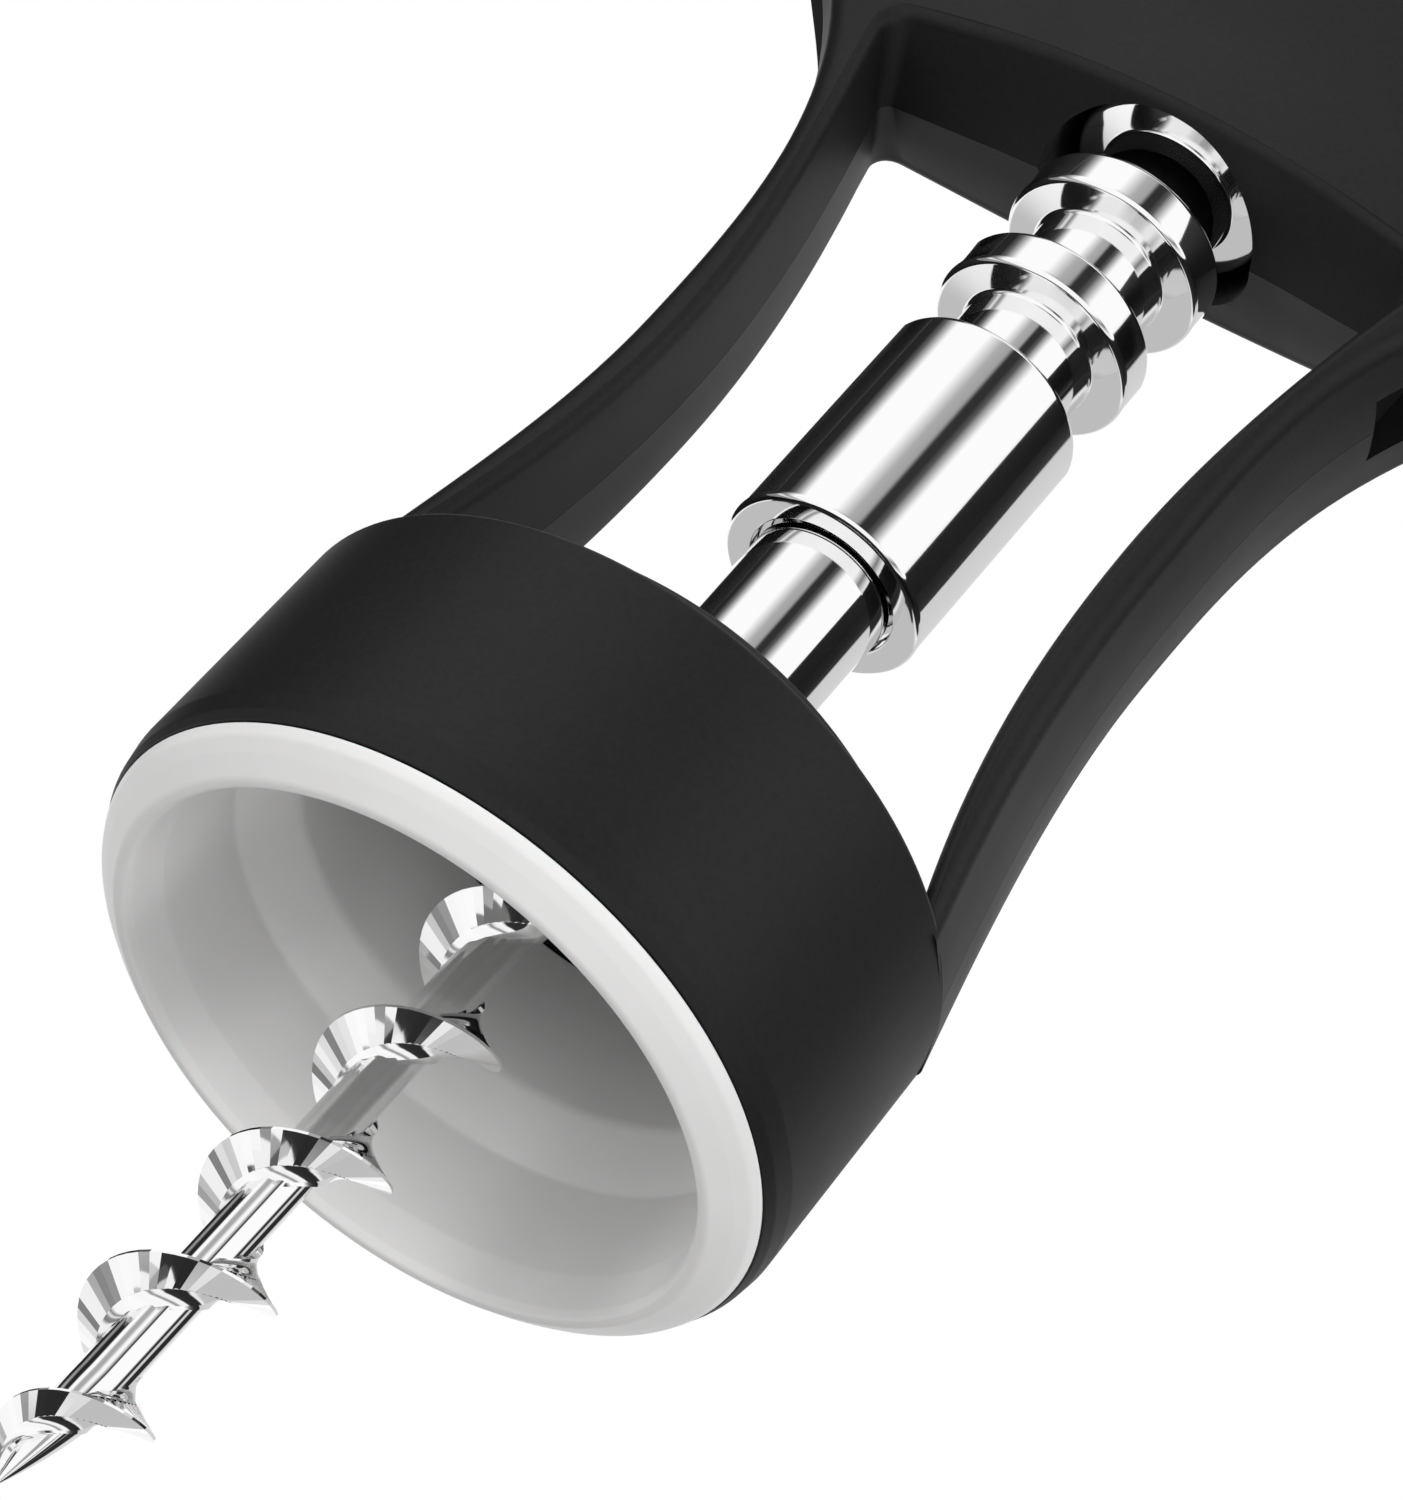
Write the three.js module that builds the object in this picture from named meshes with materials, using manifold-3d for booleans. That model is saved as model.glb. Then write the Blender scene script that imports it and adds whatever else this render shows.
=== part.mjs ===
// A wing corkscrew: a two-shell body with a bell, a toothed spindle rack, two toothed wing
// levers and a bow handle with a cap lifter. Millimetres, +Z along the worm's axis toward the
// handle, origin on the axis at the mouth of the bell. The levers swing in the XZ plane and are
// raised, with the rack at its lowest, so the worm stands out of the bell.
import * as THREE from "three";
import { mergeVertices } from "three/addons/utils/BufferGeometryUtils.js";
import Module from "manifold-3d";

// Clearances
const seatGap = 0.3; // between pieces that touch or fit
const slideGap = 0.3; // round the rack in its guides
const overrun = 2; // how far a cutter reaches past what it cuts
const weld = 0.4; // how far joined solids run into each other
const mergeDistance = 1e-4; // vertices closer than this are one

// Bell sleeve
const sleeveBottom = 2; // the white rim stands below it
const sleeveTop = 18.2;
const sleeveRadius = 20.05;
const sleeveTaper = 0.25; // smaller at the top
const sleeveHemDrop = 0.4; // smaller at the lower edge
const sleeveHemHeight = 1.5;
const sleeveEdge = 0.3;
const sleeveWall = 2.3;
const roofThickness = 2.2;
const roofHoleRadius = 4.8;
const roofRise = 3.1; // of the roof's raised middle over the sleeve's top
const roofStepInset = 2.9; // of the raised middle's foot, in from the sleeve's outside
const roofLean = 1.5;
const roofBoreInset = 2.6; // of its bore, in from the sleeve's

// Nylon insert in the bell, its radii stepped inward from the sleeve
const flangeInset = 0.55;
const flangeTop = 1.7;
const flangeLip = 0.1;
const rimUpperInset = 0.35; // the rim's rounded outside, in from the flange
const rimUpperHeight = 1.25;
const rimMiddleInset = 0.9;
const rimMiddleHeight = 0.8;
const rimBevel = 1.9;
const rimLand = 0.6; // the flat land that stands on a bottle's neck
const mouthBevel = 0.25;
const mouthHeight = 0.5;
const lowerWall = 1.15; // of the lower bore
const lowerTaper = 0.5;
const lowerBoreStart = 2.2;
const ledgeBottom = 7.8;
const ledgeTop = 11.2;
const upperWall = 3.25; // of the upper bore
const upperTaper = 0.2;

// Body outline, seen from the front
const footInset = 0.75; // from the sleeve's outside
const footSlope = -0.22;
const waistHalfWidth = 15.7;
const waistHeight = 45;
const flareHalfWidth = 20.6;
const flareSlope = 0.6;
const undersideHeight = 70.6; // of the head, on the axis
const shoulderHalfWidth = 30.5;
const shoulderRise = 10; // how far the side runs on upward before it turns in
const headRise = 17.5; // of the head's top over the pivots
const headTopHalfWidth = 11;
const headTopRun = 9; // how far the top runs on outward before it turns down

// Body section
const footHalfDepth = 7.9;
const waistHalfDepth = 6.4;
const headHalfDepth = 7.5;
const headDepthHeight = 73;
const swellDrop = 9; // below the pivots, where the head starts to swell
const swellRise = 12;
const topHalfDepth = 9;
const crownDrop = 1.25; // of the front and back faces at crownReach
const crownReach = 15;
const edgeRound = 1.2;
const sideBulge = 0.5; // of the arms' outer sides, at the parting plane

// Window between the arms
const footThickness = 1.4; // of an arm where it leaves the sleeve
const windowFootSlope = -0.33;
const windowWaistHalfWidth = 12.9;
const windowWaistHeight = 45.5;
const windowCornerHalfWidth = 15.9;
const windowCornerDrop = 2.7; // below the underside
const windowCornerSlope = 0.22;
const windowCornerRound = 1.3;
const undersideArch = 0.75;
const windowSideDraft = 1.2; // how much wider each side is at draftReach
const undersideDraft = 2.1; // how much higher the underside is there
const draftReach = 9;

// Rack: a turned bar with round teeth
const rackRadius = 5.95;
const rackRootRadius = 3.95;
const rackBoreRadius = 2.9;
const rackBottom = 37.4;
const rackLipDepth = 0.9;
const rackLipRadius = 5.1;
const rackEdge = 0.8;
const rackFootRound = 1.2;
const plainTop = 53.4; // where the plain cylinder ends
const toothPitch = 7.4;
const toothLand = 2.5;
const toothFlank = 1.15;
const firstTooth = 59.75; // middle of the lowest tooth
const toothCount = 5;
const underBoreRadius = 6.7;

// Gears: the levers' toothed sectors
const gearTeethRound = 11; // teeth on a whole wheel
const pitchLineRadius = 4.95; // of the rack
const pivotHeight = 87;
const gearThickness = 4;
const gearBacklash = 0.45;
const gearTipGap = 0.3;
const gearRootGap = 0.4;
const sectorTeeth = 6;
const hubRadius = 7.4;
const pinRadius = 2;

// Levers
const leverAngle = 54; // degrees above level at rest
const webHalfWidth = 4;
const gripStart = 27;
const gripEnd = 82;
const tangEnd = 66;
const tangHalfWidth = 3;
const gripHalfWidth = 7.4;
const gripNeckHalfWidth = 4.9;
const gripHalfThickness = 5.2;
const gripNeckHalfThickness = 3.9;
const gripLip = 1; // the neck's rounded edge
const gripDome = 7; // the rounded end
const rivetRadius = 1.4;
const rivetHeadRadius = 2.3;
const rivetHeadHeight = 0.9;
const rivetPlace = 39; // along the lever
const gripSwellStartShare = 0.05; // of the grip's length
const gripSwellEndShare = 0.72;
const gripSquareShare = 0.7; // below 1 the section is squarer than an oval
const gripDomeShare = 0.7; // below 1 the end is fuller than a half oval
const gripDomeFlatShare = 0.4; // of a step, left flat at the end
const gripSteps = 5;

// Pocket for the gears and slots for the levers
const pocketRadiusGap = 0.45;
const slotFootHalfWidth = 16.9;
const slotFootDrop = 6.6; // below the underside
const slotTopHalfWidth = 22;

// Lever pins
const pinHeadRadius = 3.6;
const pinHeadHeight = 0.9;
const pinHeadRecess = 0.5;
const pinCapBore = 1.2;

// Collar on the head
const collarHeight = 2.6;
const collarRadius = 8.4;
const collarEdge = 0.6;

// Spindle
const shaftBottom = 15.6;
const shaftRadius = 4.1;
const shaftChamfer = 0.7;
const spindleRadius = 2.6;
const spindleEnd = 5.9; // of the spindle, above the hub

// Worm
const wormCoreRadius = 1.33;
const wormRadius = 3.87;
const wormPitch = 9.2;
const wormTip = -31.7;
const wormPoint = 7.5; // length of the conical point
const wormLean = 0.6; // how far the ground point lies off the axis
const wormLeanAngle = 203;
const wormPhase = 3.1; // height of the edge where it faces wormPhaseAngle
const wormPhaseAngle = 23;
const flightTop = 14.9;
const wormTang = 5; // held in the shaft
const flightRoot = 2.5; // axial width where the flight leaves the core
const flightMid = 0.85;
const flightMidShare = 0.42; // of the flight's height
const flightEdge = 0.16;

// Handle hub
const hubHeight = 5.6;
const hubBaseRadius = 8.4;
const hubNeckRadius = 6.6;
const hubRound = 1;

// Bow handle
const bowBottomHalfWidth = 8.2;
const bowHalfWidth = 24;
const bowMiddleRise = 16.1; // of its widest place over its foot
const bowHeight = 33.1;
const bowHalfDepth = 6.2;
const bowEdge = 2;
const eyeHalfWidth = 16;
const eyeRise = 9.6; // of its lowest point over the bow's foot
const eyeHeight = 17.5;

// Cap lifter plate in the handle's eye
const plateHalfThickness = 1.1;
const plateRim = 1.6;
const lifterHeight = 4.6; // of the lip above the eye's bottom
const lifterHalfWidth = 6.5;
const crossPinRadius = 1.3;
const crossPinRise = 3.7; // over the bow's foot

// Facets
const bellSides = 46;
const roundSides = 28;
const smallSides = 18;
const outlineSteps = 7;
const crownSteps = 4;
const arcSteps = 3;
const cornerSteps = 2;
const turnSteps = 12;

// Sizes that follow from those above
const sleeveHemRadius = sleeveRadius - sleeveHemDrop;
const insertRadius = sleeveRadius - sleeveWall - seatGap;
const flangeRadius = sleeveRadius - flangeInset;
const rimLandOuter = flangeRadius - rimBevel;
const rimLandInner = rimLandOuter - rimLand;
const mouthRadius = rimLandInner - mouthBevel;
const lowerBoreRadius = insertRadius - lowerWall;
const ledgeRadius = lowerBoreRadius - lowerTaper;
const upperBoreRadius = insertRadius - upperWall;
const footHalfWidth = sleeveRadius - footInset;
const windowFootHalfWidth = footHalfWidth - footThickness;
const windowCornerHeight = undersideHeight - windowCornerDrop;
const headTop = pivotHeight + headRise;
const swellStart = pivotHeight - swellDrop;
const swellEnd = pivotHeight + swellRise;
const collarBottom = headTop + seatGap;
const collarTop = collarBottom + collarHeight;
const rackTop = collarTop + seatGap;
const hubBottom = rackTop + seatGap;
const hubTop = hubBottom + hubHeight;
const spindleTop = hubTop + spindleEnd;
const bowBottom = hubTop + seatGap;
const bowMiddle = bowBottom + bowMiddleRise;
const bowTop = bowBottom + bowHeight;
const eyeBottom = bowBottom + eyeRise;
const eyeTop = eyeBottom + eyeHeight;
const crossPinHeight = bowBottom + crossPinRise;
const slotFootHeight = undersideHeight - slotFootDrop;
const pitchRadius = (toothPitch * gearTeethRound) / (2 * Math.PI);
const pivotHalfSpacing = pitchRadius + pitchLineRadius;
const gearTipRadius = pivotHalfSpacing - rackRootRadius - gearTipGap;
const gearRootRadius = pivotHalfSpacing - rackRadius - gearRootGap;
const toothDepth = rackRadius - rackRootRadius;
const pressureAngle = Math.atan2(toothFlank, toothDepth);
const pocketRadius = gearTipRadius + pocketRadiusGap;
const pocketHalfDepth = gearThickness / 2 + seatGap;
const guideRadius = rackRadius + slideGap;
const wormTop = shaftBottom + wormTang;

const wasm = await Module();
wasm.setup();

// Joining and cutting

const FLIP = [0, 2, 1];

/** A closed geometry as a solid, turned right side out if need be. */
function solid(geometry) {
  const bare = new THREE.BufferGeometry();
  bare.setAttribute("position", geometry.getAttribute("position"));
  bare.setIndex(geometry.index);
  bare.deleteAttribute("normal");
  bare.deleteAttribute("uv");
  const merged = mergeVertices(bare, mergeDistance);
  const vertProperties = merged.attributes.position.array;
  const triVerts = new Uint32Array(merged.index.array);
  const made = new wasm.Manifold(new wasm.Mesh({ numProp: 3, vertProperties, triVerts }));
  if (made.volume() > 0) return made;
  const turned = triVerts.map((_, i) => triVerts[i - (i % 3) + FLIP[i % 3]]);
  return new wasm.Manifold(new wasm.Mesh({ numProp: 3, vertProperties, triVerts: turned }));
}

/** A solid as a geometry with flat shading. */
function geometryOf(body) {
  const mesh = body.getMesh();
  const count = mesh.numProp;
  const places = new Float32Array(mesh.numVert * 3);
  for (let i = 0; i < mesh.numVert; i++) {
    places.set(mesh.vertProperties.subarray(i * count, i * count + 3), i * 3);
  }
  const geometry = new THREE.BufferGeometry();
  geometry.setAttribute("position", new THREE.BufferAttribute(places, 3));
  geometry.setIndex(new THREE.BufferAttribute(mesh.triVerts, 1));
  geometry.computeVertexNormals();
  return geometry;
}

const join = (...bodies) => bodies.reduce((all, body) => all.add(body));
const cut = (body, ...cutters) => cutters.reduce((left, cutter) => left.subtract(cutter), body);

// Basic solids

/** A solid turned about +Z from [radius, height] points; a closed ring unless it meets the axis. */
function turned(points, sides = roundSides) {
  const profile = points.map(([radius, height]) => new THREE.Vector2(radius, height));
  const first = profile[0];
  const last = profile[profile.length - 1];
  if (first.x > 0 || last.x > 0) profile.push(first.clone());
  return solid(new THREE.LatheGeometry(profile, sides).rotateX(Math.PI / 2));
}

/** A round bar along +Z. */
function bar(radius, from, to, sides = smallSides) {
  const geometry = new THREE.CylinderGeometry(radius, radius, to - from, sides);
  return solid(geometry.rotateX(Math.PI / 2).translate(0, 0, (from + to) / 2));
}

/** A round bar along Y at (x, z). */
function crossBar(radius, x, z, from, to, sides = smallSides) {
  const geometry = new THREE.CylinderGeometry(radius, radius, to - from, sides);
  return solid(geometry.translate(x, (from + to) / 2, z));
}

/** A box between two corners. */
function box(low, high) {
  const size = high.map((value, axis) => value - low[axis]);
  const middle = high.map((value, axis) => (value + low[axis]) / 2);
  return solid(new THREE.BoxGeometry(...size).translate(...middle));
}

/** An outline of [x, z] points given depth along Y, with an optional rounded edge. */
function plate(points, from, to, edge = 0) {
  const shape = new THREE.Shape(points.map(([x, z]) => new THREE.Vector2(x, z)));
  const geometry = new THREE.ExtrudeGeometry(shape, {
    depth: to - from - 2 * edge,
    bevelEnabled: edge > 0,
    bevelThickness: edge,
    bevelSize: edge,
    bevelOffset: -edge,
    bevelSegments: arcSteps - 1,
  });
  return solid(geometry.rotateX(Math.PI / 2).translate(0, to - edge, 0));
}

/** A closed geometry over rings of [x, y, z] points; two flat outlines say how to close its ends. */
function skin(rings, firstOutline, lastOutline) {
  const count = firstOutline.length;
  const faces = [];
  for (let k = 0; k + 1 < rings.length; k++) {
    for (let i = 0; i < count; i++) {
      const a = k * count + i;
      const b = k * count + ((i + 1) % count);
      faces.push(a, b, b + count, a, b + count, a + count);
    }
  }
  const capOf = (outline) => {
    const contour = outline.map(([u, v]) => new THREE.Vector2(u, v));
    return THREE.ShapeUtils.triangulateShape(contour, []);
  };
  const last = (rings.length - 1) * count;
  capOf(firstOutline).forEach(([a, b, c]) => faces.push(c, b, a));
  capOf(lastOutline).forEach(([a, b, c]) => faces.push(last + a, last + b, last + c));
  const geometry = new THREE.BufferGeometry();
  geometry.setAttribute("position", new THREE.Float32BufferAttribute(rings.flat(2), 3));
  geometry.setIndex(faces);
  return geometry;
}

/** A closed geometry over flat outlines of [u, v] points, each at its own level. */
function loft(outlines, levels) {
  const rings = outlines.map((outline, k) => outline.map(([u, v]) => [u, v, levels[k]]));
  return skin(rings, outlines[0], outlines[outlines.length - 1]);
}

// Curves

/** Points on a cubic between two [x, z] points, with the slope dx/dz given at each. */
function sweepCurve([x0, z0], slope0, [x1, z1], slope1, steps = outlineSteps) {
  const third = (z1 - z0) / 3;
  const curve = new THREE.CubicBezierCurve(
    new THREE.Vector2(x0, z0),
    new THREE.Vector2(x0 + slope0 * third, z0 + third),
    new THREE.Vector2(x1 - slope1 * third, z1 - third),
    new THREE.Vector2(x1, z1),
  );
  return curve.getPoints(steps).map((point) => [point.x, point.y]);
}

/** Points on an arc about [x, z], angles in degrees from +X. */
function arc([x, z], radius, from, to, steps = arcSteps) {
  return Array.from({ length: steps + 1 }, (_, i) => {
    const angle = THREE.MathUtils.degToRad(from + ((to - from) * i) / steps);
    return [x + radius * Math.cos(angle), z + radius * Math.sin(angle)];
  });
}

const mirrored = (points) => points.map(([x, z]) => [-x, z]).reverse();
const blend = (value, from, to) => THREE.MathUtils.smoothstep(value, from, to);
const mix = THREE.MathUtils.lerp;

// Body

/** [half-width, height] points up the outside of the body, foot to top. */
function bodyOutline() {
  const foot = [footHalfWidth, sleeveTop - sleeveEdge - weld];
  const waist = [waistHalfWidth, waistHeight];
  const flare = [flareHalfWidth, undersideHeight];
  const shoulder = [shoulderHalfWidth, pivotHeight];
  const rise = new THREE.CubicBezierCurve(
    new THREE.Vector2(...shoulder),
    new THREE.Vector2(shoulderHalfWidth, pivotHeight + shoulderRise),
    new THREE.Vector2(headTopHalfWidth + headTopRun, headTop - sleeveEdge),
    new THREE.Vector2(headTopHalfWidth, headTop),
  );
  return [
    ...sweepCurve(foot, footSlope, waist, 0),
    ...sweepCurve(waist, 0, flare, flareSlope).slice(1),
    ...sweepCurve(flare, flareSlope, shoulder, 0).slice(1),
    ...rise.getPoints(outlineSteps).slice(1).map((point) => [point.x, point.y]),
  ];
}

/** The body's half depth on the axis at a height. */
function halfDepthAt(z) {
  const low = mix(footHalfDepth, waistHalfDepth, blend(z, sleeveTop, waistHeight));
  const high = mix(low, headHalfDepth, blend(z, waistHeight, headDepthHeight));
  return mix(high, topHalfDepth, blend(z, swellStart, swellEnd));
}

/** The body's section at a height: crowned faces with rounded edges, as [x, y] points. */
function bodySection(halfWidth, z) {
  const depth = halfDepthAt(z);
  const flat = halfWidth - edgeRound;
  const faceAt = (x) => depth - crownDrop * (x / crownReach) ** 2;
  const crown = Array.from({ length: crownSteps + 1 }, (_, i) => {
    const x = flat * (1 - (2 * i) / crownSteps);
    return [x, faceAt(x)];
  });
  const corner = [flat, faceAt(flat) - edgeRound];
  const right = arc(corner, edgeRound, 0, 90, cornerSteps).slice(0, -1);
  const left = mirrored(right);
  const back = [[halfWidth + sideBulge, 0], ...right, ...crown, ...left];
  return [...back, ...back.map(([x, y]) => [-x, -y])];
}

const pinSeat = halfDepthAt(pivotHeight) - crownDrop * (pivotHalfSpacing / crownReach) ** 2 - pinHeadRecess;

/** The window's outline as [x, z] points: at the parting plane for a share of 0, at draftReach for 1. */
function windowOutline(share) {
  const wider = windowSideDraft * share;
  const foot = [windowFootHalfWidth + wider, sleeveTop - overrun];
  const waist = [windowWaistHalfWidth + wider, windowWaistHeight];
  const corner = [windowCornerHalfWidth + wider, windowCornerHeight];
  const top = undersideHeight + undersideDraft * share;
  const archAt = (x) => top - undersideArch * (x / crownReach) ** 2;
  const reach = corner[0] - windowCornerRound / 2;
  const under = Array.from({ length: outlineSteps + 1 }, (_, i) => {
    const x = reach * (1 - (2 * i) / outlineSteps);
    return [x, archAt(x)];
  });
  const lower = sweepCurve(foot, windowFootSlope, waist, 0);
  const upper = sweepCurve(waist, 0, corner, windowCornerSlope).slice(1);
  const side = [...lower, ...upper];
  const turn = [[corner[0] + windowCornerSlope * windowCornerRound, archAt(reach) - windowCornerRound / 2]];
  return [...side, ...turn, ...under, ...mirrored(turn), ...mirrored(side)];
}

/** The space between the arms, widening from the parting plane to both faces. */
function windowCutter() {
  const rings = [windowOutline(1), windowOutline(0), windowOutline(1)];
  return solid(loft(rings, [-draftReach, 0, draftReach]).rotateX(Math.PI / 2));
}

/** The bell's black sleeve with its roof. */
function bellSleeve() {
  const topRadius = sleeveRadius - sleeveTaper;
  return turned([
    [sleeveHemRadius, sleeveBottom],
    [mix(sleeveHemRadius, sleeveRadius, 2 / 3), mix(sleeveBottom, sleeveBottom + sleeveHemHeight, 1 / 3)],
    [sleeveRadius, sleeveBottom + sleeveHemHeight],
    [topRadius, sleeveTop - sleeveEdge],
    [topRadius - sleeveEdge, sleeveTop],
    [sleeveRadius - roofStepInset, sleeveTop],
    [sleeveRadius - roofStepInset - roofLean, sleeveTop + roofRise],
    [roofHoleRadius, sleeveTop + roofRise],
    [roofHoleRadius, sleeveTop + roofRise - roofThickness],
    [insertRadius + seatGap - roofBoreInset, sleeveTop + roofRise - roofThickness],
    [insertRadius + seatGap, sleeveTop - roofThickness],
    [insertRadius + seatGap, sleeveBottom],
  ], bellSides);
}

/** Room for the gears and for the levers' webs, on one side. */
function gearPocket(side) {
  const outside = shoulderHalfWidth + overrun;
  const wheel = arc([side * pivotHalfSpacing, pivotHeight], pocketRadius, 0, 360, roundSides).slice(0, -1);
  const slot = [
    [side * slotFootHalfWidth, slotFootHeight],
    [side * outside, slotFootHeight],
    [side * outside, headTop + overrun],
    [side * slotTopHalfWidth, headTop + overrun],
    [side * slotTopHalfWidth, pivotHeight],
    [side * pivotHalfSpacing, pivotHeight],
  ];
  const rooms = [wheel, slot].map((points) => plate(points, -pocketHalfDepth, pocketHalfDepth));
  return join(...rooms);
}

/** The whole body before it parts into a front and a back shell. */
function wholeFrame() {
  const outline = bodyOutline();
  const rings = outline.map(([halfWidth, z]) => bodySection(halfWidth, z));
  const blank = solid(loft(rings, outline.map(([, z]) => z)));
  const sides = [-1, 1];
  const depth = topHalfDepth + overrun;
  const holes = sides.flatMap((side) => {
    const x = side * pivotHalfSpacing;
    return [
      crossBar(pinRadius + seatGap, x, pivotHeight, -depth, depth),
      crossBar(pinHeadRadius + seatGap, x, pivotHeight, pinSeat, depth),
      crossBar(pinHeadRadius + seatGap, x, pivotHeight, -depth, -pinSeat),
    ];
  });
  return cut(
    blank,
    windowCutter(),
    ...sides.map(gearPocket),
    ...holes,
    bar(underBoreRadius, undersideHeight - overrun, pivotHeight + pocketRadius, roundSides),
    bar(guideRadius, pivotHeight, headTop + overrun, roundSides),
  );
}

const frame = wholeFrame();
const farSide = shoulderHalfWidth + overrun;
const farDepth = topHalfDepth + overrun;
const farTop = headTop + overrun;
const frontHalf = box([-farSide, -farDepth, 0], [farSide, -seatGap / 2, farTop]);
const backHalf = box([-farSide, seatGap / 2, sleeveTop + seatGap], [farSide, farDepth, farTop]);
const frontShell = join(frame.intersect(frontHalf), bellSleeve());
const backShell = frame.intersect(backHalf);

/** The white insert that seats on a bottle's neck. */
function bellInsert() {
  const top = sleeveTop - roofThickness - seatGap;
  return turned([
    [mouthRadius, mouthHeight],
    [rimLandInner, 0],
    [rimLandOuter, 0],
    [flangeRadius - rimMiddleInset, rimMiddleHeight],
    [flangeRadius - rimUpperInset, rimUpperHeight],
    [flangeRadius, flangeTop - flangeLip],
    [flangeRadius, flangeTop],
    [insertRadius, flangeTop],
    [insertRadius, top],
    [insertRadius - roofBoreInset, top + roofRise],
    [upperBoreRadius - upperTaper, top + roofRise],
    [upperBoreRadius, ledgeTop],
    [ledgeRadius, ledgeBottom],
    [lowerBoreRadius, lowerBoreStart],
  ], bellSides);
}

/** A steel pin through both shells and a lever, with its head in front. */
function leverPin(side) {
  const x = side * pivotHalfSpacing;
  const underHead = -pinSeat - seatGap;
  const head = crossBar(pinHeadRadius, x, pivotHeight, underHead - pinHeadHeight, underHead);
  const shank = crossBar(pinRadius, x, pivotHeight, underHead - weld, pinSeat - pinCapBore);
  return join(head, shank);
}

/** The cap that closes a lever pin at the back, with a spigot into the shell. */
function pinCap(side) {
  const x = side * pivotHalfSpacing;
  const underHead = pinSeat + seatGap;
  const head = crossBar(pinHeadRadius, x, pivotHeight, underHead, underHead + pinHeadHeight);
  const spigot = crossBar(pinRadius, x, pivotHeight, pinSeat - pinCapBore + seatGap, underHead + weld);
  return join(head, spigot);
}

/** The ring on the head that the rack slides through. */
function headCollar() {
  return turned([
    [guideRadius, collarBottom],
    [collarRadius, collarBottom],
    [collarRadius, collarTop - collarEdge],
    [collarRadius - collarEdge, collarTop],
    [guideRadius, collarTop],
  ]);
}

// Spindle and rack

/** The turned rack: a plain cylinder, round teeth and a plain top, bored for the spindle. */
function rackSleeve() {
  const halfLand = toothLand / 2;
  const halfFoot = halfLand + toothFlank;
  const teeth = Array.from({ length: toothCount }, (_, i) => firstTooth + i * toothPitch).flatMap((z) => [
    [rackRootRadius, z - halfFoot],
    [rackRadius, z - halfLand],
    [rackRadius, z + halfLand],
    [rackRootRadius, z + halfFoot],
  ]);
  const plainStart = firstTooth + toothCount * toothPitch - halfFoot;
  return turned([
    [rackBoreRadius, rackBottom + rackLipDepth],
    [rackLipRadius, rackBottom + rackLipDepth],
    [rackLipRadius, rackBottom],
    [rackRadius - (2 / 3) * rackFootRound, rackBottom],
    [rackRadius - rackFootRound / 5, rackBottom + rackFootRound / 3],
    [rackRadius, rackBottom + rackFootRound],
    [rackRadius, plainTop],
    [rackRootRadius, plainTop + toothFlank],
    ...teeth,
    [rackRootRadius, plainStart],
    [rackRadius, plainStart + toothFlank],
    [rackRadius, rackTop - rackEdge],
    [rackRadius - rackEdge, rackTop],
    [rackBoreRadius, rackTop],
  ]);
}

/** The stepped shaft that turns inside the rack and carries worm and handle. */
function spindleShaft() {
  const shoulder = rackBottom + rackLipDepth - seatGap;
  return turned([
    [wormCoreRadius + seatGap, shaftBottom],
    [shaftRadius - shaftChamfer, shaftBottom],
    [shaftRadius, shaftBottom + shaftChamfer],
    [shaftRadius, shoulder],
    [spindleRadius, shoulder],
    [spindleRadius, spindleTop],
    [0, spindleTop],
    [0, wormTop + seatGap],
    [wormCoreRadius + seatGap, wormTop + seatGap],
  ]);
}

/** The flight: a thin helical blade with hollow faces and a keen edge, right-handed. */
function wormFlight() {
  const start = wormTip + wormPoint / 2;
  const turns = (flightTop - start - flightRoot) / wormPitch;
  const steps = Math.ceil(turns * turnSteps);
  const phase = THREE.MathUtils.degToRad(wormPhaseAngle) - (2 * Math.PI * wormPhase) / wormPitch;
  const inside = wormCoreRadius / 2;
  const middle = mix(wormCoreRadius, wormRadius, flightMidShare);
  const section = [
    [inside, -flightRoot / 2],
    [wormCoreRadius, -flightRoot / 2],
    [middle, -flightMid / 2],
    [wormRadius, -flightEdge / 2],
    [wormRadius, flightEdge / 2],
    [middle, flightMid / 2],
    [wormCoreRadius, flightRoot / 2],
    [inside, flightRoot / 2],
  ];
  const rings = Array.from({ length: steps + 1 }, (_, k) => {
    const z = start + (turns * wormPitch * k) / steps;
    const angle = phase + (2 * Math.PI * z) / wormPitch;
    const grown = Math.min(1, (z - wormTip) / wormPoint);
    return section.map(([radius, rise]) => [
      grown * radius * Math.cos(angle),
      grown * radius * Math.sin(angle),
      z + rise * grown,
    ]);
  });
  return solid(skin(rings, section, section));
}

/** The worm: core, conical point and flight. */
function worm() {
  const core = turned([
    [0, wormTip],
    [wormCoreRadius, wormTip + wormPoint],
    [wormCoreRadius, wormTop],
    [0, wormTop],
  ], smallSides);
  const angle = THREE.MathUtils.degToRad(wormLeanAngle);
  return join(core, wormFlight()).warp((place) => {
    const share = Math.max(0, (wormTip + wormPoint - place[2]) / wormPoint);
    place[0] += wormLean * share ** 2 * Math.cos(angle);
    place[1] += wormLean * share ** 2 * Math.sin(angle);
  });
}

// Levers, built on the right with the arm along +X from the pivot

const involute = (angle) => Math.tan(angle) - angle;

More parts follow.
